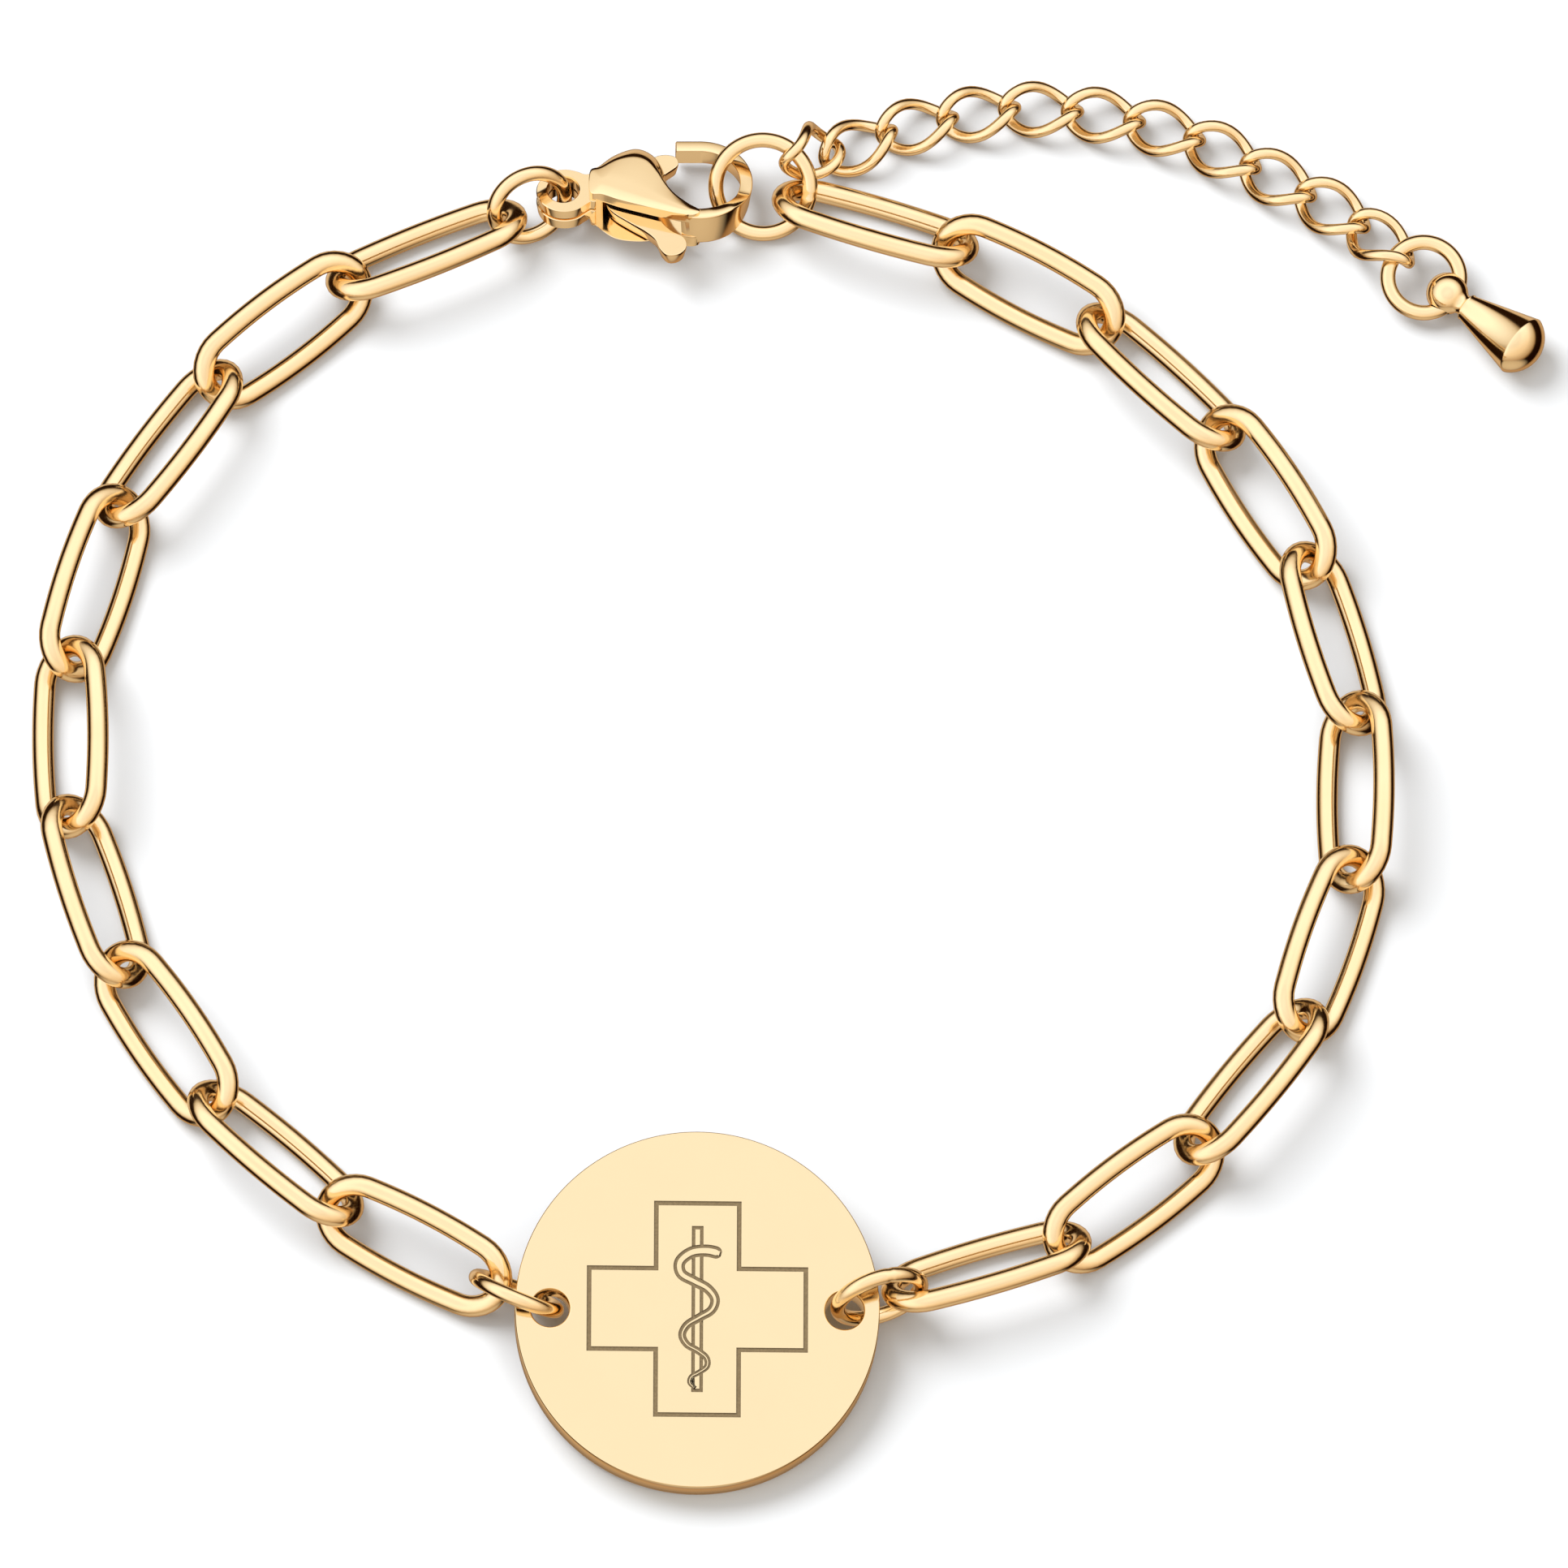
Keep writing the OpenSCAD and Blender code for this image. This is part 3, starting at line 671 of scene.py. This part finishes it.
def keep_flats_flat(piece):
    """Lets the big faces decide how the light runs over them, so that only the bevels look round."""
    weigh = piece.modifiers.new("flat faces", "WEIGHTED_NORMAL")
    weigh.keep_sharp = True
    weigh.weight = 100


keep_flats_flat(disc_piece)
print("disc lies at", [round(c, 2) for c in disc_place.translation])

# %% [markdown]
# ## The clasp
# A lobster clasp is cast in one piece: an eye, two shells with a slot between
# them, and a hook that sweeps round from the shells' end. A lever turns on a
# rivet in the slot; its nose shuts the hook, its tail is the thumb tab. All of
# it is drawn flat first, with the rivet in the middle and the hook to the
# right, and laid down leaning last. The shells are hills of contour lines: a
# faintly crowned face, a crisp edge, and walls down to the slot. The parts of
# the body overlap a little and are joined at last into one closed surface.

# %% The two shells
CLASP_HALF = 1.1
FACE_OUTLINE = [(-1.9, -0.6), (-1.4, -0.72), (-0.7, -1.0), (0.25, -1.3), (1.0, -1.52), (1.8, -1.73),
                (2.4, -1.8), (2.66, -1.6), (2.2, -1.26), (1.62, -0.73), (1.22, -0.15), (0.88, 0.5),
                (0.45, 1.08), (-0.1, 1.28), (-0.8, 1.1), (-1.45, 0.68), (-1.9, 0.45)]
LIP_BEHIND = [(2.68, -1.58), (2.2, -1.2), (1.66, -0.62), (1.34, 0.1), (1.14, 0.95), (0.72, 1.72),
              (0.0, 2.08), (-0.9, 1.72), (-1.55, 1.12), (-1.95, 0.66)]
TOP_LIP = [(-1.9, -0.57), (-1.4, -0.69), (-0.7, -0.97), (0.25, -1.27), (1.0, -1.5), (1.8, -1.71),
           (2.4, -1.79), *LIP_BEHIND]
LOW_LIP = [(-1.95, -0.72), (-1.55, -1.28), (-0.85, -1.84), (0.1, -2.0), (0.95, -1.9), (1.85, -1.7),
           (2.45, -1.78), *LIP_BEHIND]
SLOT_TOP, SLOT_LOW = 0.5, -0.46
SPINE_START, SPINE_END = Vector((-1.3, -0.05)), Vector((2.05, -1.5))
CROWN, CROWN_STEPS, CROWN_INSET = 0.04, (0.8, 0.6, 0.4, 0.2, 0.06, 0), 0.03
ARRIS, EDGE_DEPTH, FRONT_DEPTH, BACK_SLOPE = 0.006, 0.025, 0.11, 0.08
WALL_STEPS = ((0.3, 0.22), (0.65, 0.52), (0.9, 0.8))
LIP_EDGE, LIP_INSETS = 0.03, (0.02, 0.3)
NORMAL_STEP = 0.01


def between(a, b, share):
    """The outline that lies a share of the way from one outline to another."""
    return [p.lerp(q, share) for p, q in zip(a, b)]


def shell(face_points, lip_points, lip, top):
    """One shell: a crisp upright edge in front, a thin sloping one behind, and the wall to the lip."""
    face = smooth_run(face_points, 6, closed=True)
    rim = smooth_run(lip_points, 6, closed=True)
    down, reach = -1 if top > lip else 1, abs(top - lip)
    outward = [(p - q) / NORMAL_STEP for p, q in zip(face, shrink(face, NORMAL_STEP))]
    edge = [p + way * BACK_SLOPE * max(0, way.y) for p, way in zip(face, outward)]
    edge_depths = [EDGE_DEPTH + FRONT_DEPTH * max(0, -way.y) for way in outward]

    def level(points, depth):
        return points, [top + down * each for each in for_each(points, depth)]

    crown_rim, spine = shrink(face, CROWN_INSET), []
    for point in face:
        along = SPINE_END - SPINE_START
        share = (point - SPINE_START).dot(along) / along.length_squared
        spine.append(SPINE_START.lerp(SPINE_END, min(max(share, 0), 1)))
    levels = [level(between(crown_rim, spine, share), -CROWN * (1 - (1 - share) ** 2))
              for share in CROWN_STEPS]
    levels += [level(shrink(face, ARRIS), ARRIS), level(edge, edge_depths)]
    for share, sink in WALL_STEPS:
        depths = [depth + (reach - LIP_EDGE - depth) * sink for depth in edge_depths]
        levels.append(level(between(edge, rim, share), depths))
    levels.append(level(rim, reach - LIP_EDGE))
    return hill(levels + [level(shrink(rim, inset), reach) for inset in LIP_INSETS])


rivet_middle = middle_of("clasp_rivet")
CLASP_LEAN = math.radians(14)
clasp_place = Matrix.Translation(rivet_middle) @ Matrix.Rotation(-CLASP_LEAN, 4, "X")
clasp_parts = [shell(FACE_OUTLINE, TOP_LIP, SLOT_TOP, CLASP_HALF),
               shell(FACE_OUTLINE, LOW_LIP, SLOT_LOW, -CLASP_HALF)]
print("rivet at", [round(c, 2) for c in rivet_middle])

# %% [markdown]
# On the eye's side the slot between the shells is closed by a thin curved
# wall. A block with a pocket sawn into it would do, but the strip between two
# arcs is all that would be left of it, so that is what is drawn. It reaches
# into both shells, so that the union takes it in.

# %% The wall at the back of the slot
WALL_OUT, WALL_IN, WALL_OVERLAP = 1.84, 1.53, 0.1
WALL_ANGLES = [math.radians(a) for a in range(100, 206, 7)]
wall = [Vector((WALL_OUT * math.cos(a), WALL_OUT * math.sin(a))) for a in WALL_ANGLES]
wall += [Vector((WALL_IN * math.cos(a), WALL_IN * math.sin(a))) for a in reversed(WALL_ANGLES)]
clasp_parts.append(hill([(wall, SLOT_LOW - WALL_OVERLAP), (wall, SLOT_TOP + WALL_OVERLAP)]))
print("wall faces:", len(clasp_parts[-1].faces))

# %% [markdown]
# The eye looks like two washers laid on each other, because the casting has a
# groove all round where its two halves met. Each half is an outline with a
# hole, both rounded at their edges: nine contour lines that close on
# themselves. A narrower washer between the two is the groove's floor.

# %% The eye and its neck, in two halves
EYE_OUTLINE = [(-1.7, 0.6), (-2.15, 0.61), (-2.5, 0.76), (-2.95, 0.86), (-3.45, 0.76), (-3.85, 0.45),
               (-4.06, 0.0), (-4.05, -0.42), (-3.82, -0.84), (-3.42, -1.12), (-2.95, -1.2),
               (-2.5, -1.1), (-2.15, -0.84), (-1.9, -0.66), (-1.7, -0.64), (-1.6, 0.0)]
EYE_MIDDLE, EYE_HOLE = Vector((-3.04, -0.13)), 0.71
EYE_HALVES, EYE_EDGE = ((0.02, 0.65), (-0.65, -0.02)), 0.05
WASHER_MIDDLE, WASHER_RADIUS, WASHER_HALF = (EYE_MIDDLE.x, EYE_MIDDLE.y - 0.02), 0.93, 0.1


def round_the_eye(points, radius):
    """The points drawn in to a circle about the eye's middle."""
    return [EYE_MIDDLE + (point - EYE_MIDDLE).normalized() * radius for point in points]


eye_run = smooth_run(EYE_OUTLINE, 4, closed=True)
hole_run = round_the_eye(eye_run, EYE_HOLE)
for low, high in EYE_HALVES:
    outer = ((0.6, low), (-0.6, low + EYE_EDGE), (-1.6, high - 0.13), (-1.6, high - 0.03), (-1, high))
    inner = ((0, high), (1, high - EYE_EDGE), (1, low + EYE_EDGE), (0, low))
    levels = [(shrink(run, inset * EYE_EDGE), height)
              for run, steps in ((eye_run, outer), (hole_run, inner)) for inset, height in steps]
    clasp_parts.append(hill(levels, ring=True))
washer = []
for angle in [math.radians(7.5 * k) for k in range(48)]:
    washer.append(Vector((WASHER_MIDDLE[0] + WASHER_RADIUS * math.cos(angle),
                          WASHER_MIDDLE[1] + WASHER_RADIUS * math.sin(angle))))
washer_hole = round_the_eye(washer, EYE_HOLE + EYE_EDGE)
clasp_parts.append(carve(hill([(washer, -WASHER_HALF), (washer, WASHER_HALF)]),
                         hill([(washer_hole, -2 * WASHER_HALF), (washer_hole, 2 * WASHER_HALF)])))
print("clasp parts so far:", len(clasp_parts))

# %% [markdown]
# The hook is a flat strip stood on edge and swept round. One rounded
# rectangle is spun round the hook's centre, its last round is pushed on
# straight to the tip, and then the whole strip is made thicker towards the
# root, where it carries the load.

# %% The hook
HOOK_MIDDLE, HOOK_OUT, HOOK_BAND = Vector((2.7, 0.33, 0)), 2.2, 0.55
HOOK_SECTION, HOOK_EDGE = ((0.25, -0.5), (0, 0.5), (1, 0.5), (0.75, -0.5)), 0.06
HOOK_START, HOOK_SWEEP = math.radians(-112), math.radians(202)
HOOK_TIP, NOSE_LENGTH, NOSE_TAPER = 1.65, 0.05, (1, 0.82, 0.9)
ROOT_HEIGHT, ROOT_AT, ROOT_RUN = 1.9, -1.3, 1.0
BAND_HEIGHT, SLIMMER, SLIM_AT, SLIM_RUN = 1.14, 0.1, -0.4, 2.5


def risen(value, start, run):
    """0 up to the start, 1 from the end of the run on, and even in between."""
    return min(max((value - start) / run, 0), 1)


hook = bmesh.new()
section = [hook.verts.new((HOOK_OUT - HOOK_BAND * x, 0, z)) for x, z in HOOK_SECTION]
for pair in zip(section, section[1:] + section[:1]):
    hook.edges.new(pair)
bmesh.ops.bevel(hook, geom=section, offset=HOOK_EDGE, segments=3, profile=0.5,
                affect="VERTICES", material=-1)
bmesh.ops.rotate(hook, verts=hook.verts[:], matrix=Matrix.Rotation(HOOK_START, 3, "Z"))
swept = bmesh.ops.spin(hook, geom=hook.edges[:], axis=(0, 0, 1), angle=HOOK_SWEEP, steps=60)
end = only(swept["geom_last"], bmesh.types.BMEdge)
arm = bmesh.ops.extrude_edge_only(hook, edges=end)["geom"]
bmesh.ops.translate(hook, verts=only(arm, bmesh.types.BMVert),
                    vec=(HOOK_TIP - HOOK_MIDDLE.x + NOSE_LENGTH, 0, 0))
end = [edge for edge in only(arm, bmesh.types.BMEdge) if edge.is_boundary]
nose = only(bmesh.ops.extrude_edge_only(hook, edges=end)["geom"], bmesh.types.BMVert)
bmesh.ops.translate(hook, verts=nose, vec=(-NOSE_LENGTH, 0, 0))
band_middle = Vector((0, HOOK_OUT - HOOK_BAND / 2, 0))
bmesh.ops.scale(hook, verts=nose, vec=NOSE_TAPER, space=Matrix.Translation(-band_middle))
bmesh.ops.holes_fill(hook, edges=[edge for edge in hook.edges if edge.is_boundary])
bmesh.ops.translate(hook, verts=hook.verts[:], vec=HOOK_MIDDLE)
for vert in hook.verts:
    height = ROOT_HEIGHT + (BAND_HEIGHT - ROOT_HEIGHT) * risen(vert.co.y, ROOT_AT, ROOT_RUN)
    vert.co.z *= height - SLIMMER * risen(vert.co.y, SLIM_AT, SLIM_RUN)
bmesh.ops.recalc_face_normals(hook, faces=hook.faces[:])
clasp_parts.append(hook)
print("hook faces:", len(hook.faces))


# %% The clasp in its place
casting = clasp_parts[0]
for part in clasp_parts[1:]:
    casting = carve(casting, part, operation="UNION")
open_edges = sum(not edge.is_manifold for edge in casting.edges)
print("casting faces:", len(casting.faces), "open edges:", open_edges)
clasp_piece = finish_piece("clasp_casting", casting, clasp_place, clasp_gold,
                           ["clasp_body"])
keep_flats_flat(clasp_piece)

# %% [markdown]
# The rivet is a round pin, pressed through both shells, on which the lever
# turns. It could be given heads, but the photograph shows the upper shell's
# face plain, so a straight rod that ends just inside the shells is enough:
# only its middle can be seen, in the slot.

# %% The rivet
def rod_of(radius, length, edge):
    """A round rod along Z with broken edges."""
    bm = bmesh.new()
    bmesh.ops.create_cone(bm, cap_ends=True, segments=48, radius1=radius, radius2=radius, depth=length)
    rims = [e for e in bm.edges if abs(e.verts[0].co.z - e.verts[1].co.z) < 1e-4]
    bmesh.ops.bevel(bm, geom=rims, offset=edge, segments=2, profile=0.5, affect="EDGES", material=-1)
    return bm


PIN_SIZE, PIN_SHORTER, PIN_EDGE, PIN_PLAY = 0.8, 0.1, 0.05, 0.04
pin = rod_of(PIN_SIZE / 2, 2 * CLASP_HALF - PIN_SHORTER, PIN_EDGE)
finish_piece("clasp_pin", pin, clasp_place, clasp_gold, ["clasp_rivet"])
print("pin length, mm:", round(2 * CLASP_HALF - PIN_SHORTER, 2))

# %% [markdown]
# The lever is stamped from thick sheet: one soft outline from the nose, round
# the rivet and down a curved arm to the round thumb tab, with its edges
# tumbled smooth. It rides on its own body, because it turns.

# %% The lever
LEVER_OUTLINE = [(0.72, 0.35), (1.24, 0.9), (1.72, 1.32), (1.76, 1.62), (1.6, 1.84), (1.2, 1.92),
                 (0.78, 1.8), (0.3, 1.35), (-0.35, 0.72), (-0.9, 0.1), (-1.25, -0.5), (-1.0, -1.05),
                 (-0.3, -1.6), (0.35, -2.05), (0.8, -2.5), (1.0, -3.0), (1.3, -3.33), (1.72, -3.33),
                 (2.05, -3.08), (2.13, -2.7), (1.95, -2.35), (1.5, -2.08), (1.1, -1.6), (0.95, -0.9),
                 (0.85, -0.2)]
LEVER_LOW, LEVER_HIGH, LEVER_EDGE = -0.39, 0.36, 0.07
PLATE_LEAN, UPRIGHT = math.radians(8), 0.15
CRISP_EDGE = ((0, 0.03), (0.01, 0.01), (0.035, 0))


def soft_plate(points, low, high, edge):
    """A plate of that outline: crisp at its upper edge, upright for a little, then leaning in."""
    lean = (high - low) * math.tan(PLATE_LEAN)
    levels = [(shrink(points, lean + edge), low),
              (shrink(points, lean + 0.3 * edge), low + 0.3 * edge),
              (shrink(points, lean), low + edge), (points, high - UPRIGHT)]
    return hill(levels + [(shrink(points, inset), high - sink) for inset, sink in CRISP_EDGE])


lever_run = smooth_run(LEVER_OUTLINE, 5, closed=True)
lever = carve(soft_plate(lever_run, LEVER_LOW, LEVER_HIGH, LEVER_EDGE),
              rod_of(PIN_SIZE / 2 + PIN_PLAY, 2, PIN_EDGE))
lever_piece = finish_piece("clasp_lever_stamped", lever, clasp_place, clasp_gold,
                           ["clasp_lever"], body="lever")
keep_flats_flat(lever_piece)
print("lever faces:", len(lever_piece.data.polygons))

# %% [markdown]
# ## The drop
# The drop is turned on a lathe: a bead, a thin neck, a cone and a dome. The
# lathe is the spin: half a profile goes once round the axis. Where the cone
# meets the dome, the edge is left nearly sharp, which cuts the reflections in
# two. Last, the bead is drilled along the ring that goes through it.

# %% Turning the drop
BEAD, NECK, WIDEST, CONE_LENGTH, DOME = 0.88, 0.46, 1.33, 4.0, 1.45
profile = [(-BEAD * math.cos(math.radians(a)), BEAD * math.sin(math.radians(a)))
           for a in range(0, 145, 6)]
profile += [(0.8, NECK), (0.9, NECK - 0.02), (0.98, NECK), (1.02, 0.56), (1.08, 0.6), (1.14, 0.58)]
profile += [(CONE_LENGTH + along, WIDEST - less)
            for along, less in ((-0.06, 0.03), (-0.02, 0.012), (0.02, 0.012))]
dome_middle = CONE_LENGTH - math.sqrt(DOME ** 2 - WIDEST ** 2)
profile += [(dome_middle + DOME * math.cos(math.radians(a)), DOME * math.sin(math.radians(a)))
            for a in range(62, 2, -6)]
profile.append((dome_middle + DOME, 0))
drop = bmesh.new()
turned = [drop.verts.new((x, 0, r)) for x, r in profile]
for pair in zip(turned, turned[1:]):
    drop.edges.new(pair)
bmesh.ops.spin(drop, geom=drop.edges[:], axis=(1, 0, 0), angle=2 * math.pi, steps=72, use_merge=True)
bmesh.ops.remove_doubles(drop, verts=drop.verts[:], dist=0.001)
bmesh.ops.recalc_face_normals(drop, faces=drop.faces[:])
print("drop length, mm:", round(BEAD + profile[-1][0], 2))

# %% Drilling it and laying it down
BEAD_PLACE, CHANNEL_PLAY = Vector((27.51, 21.798, BEAD)), 0.12
DROP_HEADING = math.radians(-40)
drop_rise = math.asin((WIDEST - BEAD) / CONE_LENGTH)
drop_place = (Matrix.Translation(BEAD_PLACE) @ Matrix.Rotation(DROP_HEADING, 4, "Z")
              @ Matrix.Rotation(-drop_rise, 4, "Y"))
channel = spun_wire((RING_SIZES["drop_ring"] - RING_WIRE) / 2, RING_WIRE + CHANNEL_PLAY,
                    RING_ROUNDS, RING_SIDES)
bmesh.ops.transform(channel, matrix=pose_of("drop_ring"), verts=channel.verts[:])
bmesh.ops.transform(drop, matrix=drop_place, verts=drop.verts[:])
finish_piece("drop_turned", carve(drop, channel), Matrix.Identity(4), drop_gold,
             ["drop"], sharp=45)
low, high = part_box("drop")
print("drop solid from", [round(c / MM, 2) for c in low], "to", [round(c / MM, 2) for c in high])

# %% [markdown]
# ## The table, the light and the camera
# The table is white and goes on past every edge of the picture. Polished metal
# is lit by what it mirrors. Here that is a white tent round the camera, dimmer
# where the lens looks through it, then a dark gap where the tent ends, and
# gold-coloured reflections beyond, with a soft glow from the viewer's side
# that keeps upright walls light. On a round wire the gap becomes the thin
# brown line along each edge, and on the bead and the dome a dark ring, which
# is what makes polished metal look round. A plain white room would give a
# pale, flat tube. The table would mirror as one more flat white, so it is left
# out of the mirror images.

# %% The table
TABLE_RADIUS, TABLE_WHITE = 0.45, (0.595, 0.615, 0.64, 1)
table = bmesh.new()
bmesh.ops.create_circle(table, cap_ends=True, segments=96, radius=TABLE_RADIUS)
table_mesh = bpy.data.meshes.new("table")
table.to_mesh(table_mesh)
table.free()
table_top = bpy.data.objects.new("table", table_mesh)
bpy.context.scene.collection.objects.link(table_top)
table_white = bpy.data.materials.new("table_white")
table_white.use_nodes = True
paint = table_white.node_tree.nodes["Principled BSDF"]
paint.inputs["Base Color"].default_value = TABLE_WHITE
paint.inputs["Roughness"].default_value = 0.9
paint.inputs["Specular IOR Level"].default_value = 0.0
table_mesh.materials.append(table_white)
table_top.visible_glossy = False
table_top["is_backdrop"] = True
print("table radius, m:", TABLE_RADIUS)

# %% The tent, as rings round the direction of the camera
CAMERA_HEIGHT = math.radians(68)
TO_CAMERA = Vector((0, -math.cos(CAMERA_HEIGHT), math.sin(CAMERA_HEIGHT)))
world = bpy.data.worlds.new("studio_tent")
bpy.context.scene.world = world
world.use_nodes = True
nodes, link = world.node_tree.nodes, world.node_tree.links.new
sky = nodes["Background"]
direction = nodes.new("ShaderNodeTexCoord")


def rings(axis, stops):
    """Colours by the angle in degrees between a direction and the axis, from 180 down to 0."""
    towards = nodes.new("ShaderNodeVectorMath")
    towards.operation = "DOT_PRODUCT"
    towards.inputs[1].default_value = Vector(axis).normalized()
    place = nodes.new("ShaderNodeMapRange")
    place.inputs["From Min"].default_value = -1
    ramp = nodes.new("ShaderNodeValToRGB")
    elements = ramp.color_ramp.elements
    for angle, colour in stops[1:-1]:
        elements.new((1 + math.cos(math.radians(angle))) / 2).color = (*colour, 1)
    elements[0].color = (*stops[0][1], 1)
    elements[-1].color = (*stops[-1][1], 1)
    link(direction.outputs["Generated"], towards.inputs[0])
    link(towards.outputs["Value"], place.inputs["Value"])
    link(place.outputs["Result"], ramp.inputs["Fac"])
    return ramp.outputs["Color"]


GAP = (0.018, 0.006, 0.001)
tent = rings(TO_CAMERA, (
    (180, (0.50, 0.38, 0.26)), (145, (0.86, 0.71, 0.54)), (131, (0.66, 0.50, 0.33)), (126, GAP),
    (94, GAP), (90, (0.40, 0.30, 0.20)), (83, (0.84, 0.76, 0.65)), (72, (1.08, 1.06, 1.02)),
    (60, (1.34, 1.33, 1.32)), (42, (1.30, 1.30, 1.29)), (28, (1.12, 1.12, 1.12)),
    (0, (1.16, 1.16, 1.16))))
side_light = rings((-0.5, 0.5, 0.7), (
    (180, (0.55, 0.40, 0.26)), (115, (0.74, 0.62, 0.48)), (85, (0.93, 0.89, 0.84)),
    (60, (1.0, 1.0, 1.0)), (0, (1.0, 1.0, 1.0))))
front_glow = rings((0, -0.77, -0.64), (
    (180, (0, 0, 0)), (36, (0, 0, 0)), (22, (0.62, 0.50, 0.36)), (0, (0.72, 0.60, 0.45))))


def blend(way, under, over):
    """Two colours of the sky laid on each other in full."""
    mix = nodes.new("ShaderNodeMix")
    mix.data_type, mix.blend_type = "RGBA", way
    mix.inputs["Factor"].default_value = 1
    link(under, mix.inputs["A"])
    link(over, mix.inputs["B"])
    return mix.outputs["Result"]


link(blend("LIGHTEN", blend("MULTIPLY", tent, side_light), front_glow), sky.inputs["Color"])
sky.inputs["Strength"].default_value = 1.0
print("world:", world.name)

# %% The key light, from the upper left of the picture
KEY_PLACE, KEY_SIZE, KEY_POWER = Vector((-0.33, 0.3, 0.5)), 0.5, 5.8
key = bpy.data.objects.new("key", bpy.data.lights.new("key", "AREA"))
key.data.shape, key.data.size, key.data.energy = "DISK", KEY_SIZE, KEY_POWER
key.location = KEY_PLACE
key.rotation_euler = (-KEY_PLACE).to_track_quat("-Z", "Y").to_euler()
key.visible_camera = key.visible_glossy = False
bpy.context.scene.collection.objects.link(key)
print("key light stands", round(KEY_PLACE.length, 2), "m away")

# %% [markdown]
# The picture was taken from high up, nearly straight down but leaning to the
# viewer's side, through a long lens that keeps near and far links the same
# size. An orthographic camera would do the same, but a long lens also works
# for the other views, so a very long lens it is.

# %% The camera
AIM = Vector((-0.00022, 0.00003, 0))
PICTURE_WIDTH = 0.06512
camera = bpy.data.objects.new("camera", bpy.data.cameras.new("camera"))
camera.data.lens, camera.data.sensor_width = 600, 36
distance = PICTURE_WIDTH / camera.data.sensor_width * camera.data.lens
camera.location = AIM + distance * TO_CAMERA
camera.rotation_euler = (-TO_CAMERA).to_track_quat("-Z", "Y").to_euler()
camera.data.clip_start, camera.data.clip_end = 0.05, 10
bpy.context.scene.collection.objects.link(camera)
bpy.context.scene.camera = camera
bpy.context.scene.view_settings.view_transform = "Standard"
print("camera stands", round(distance, 3), "m away")

# %% [markdown]
# Last, the size of the dressed bracelet is set against the solids' size.

# %% Sizes, and the end
seen_low, seen_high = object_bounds()
past = [round((a - b) / MM, 3) for a, b in zip((*seen_low, *seen_high), (*cad_low, *cad_high))]
print("visual box minus solids' box, mm:", past)
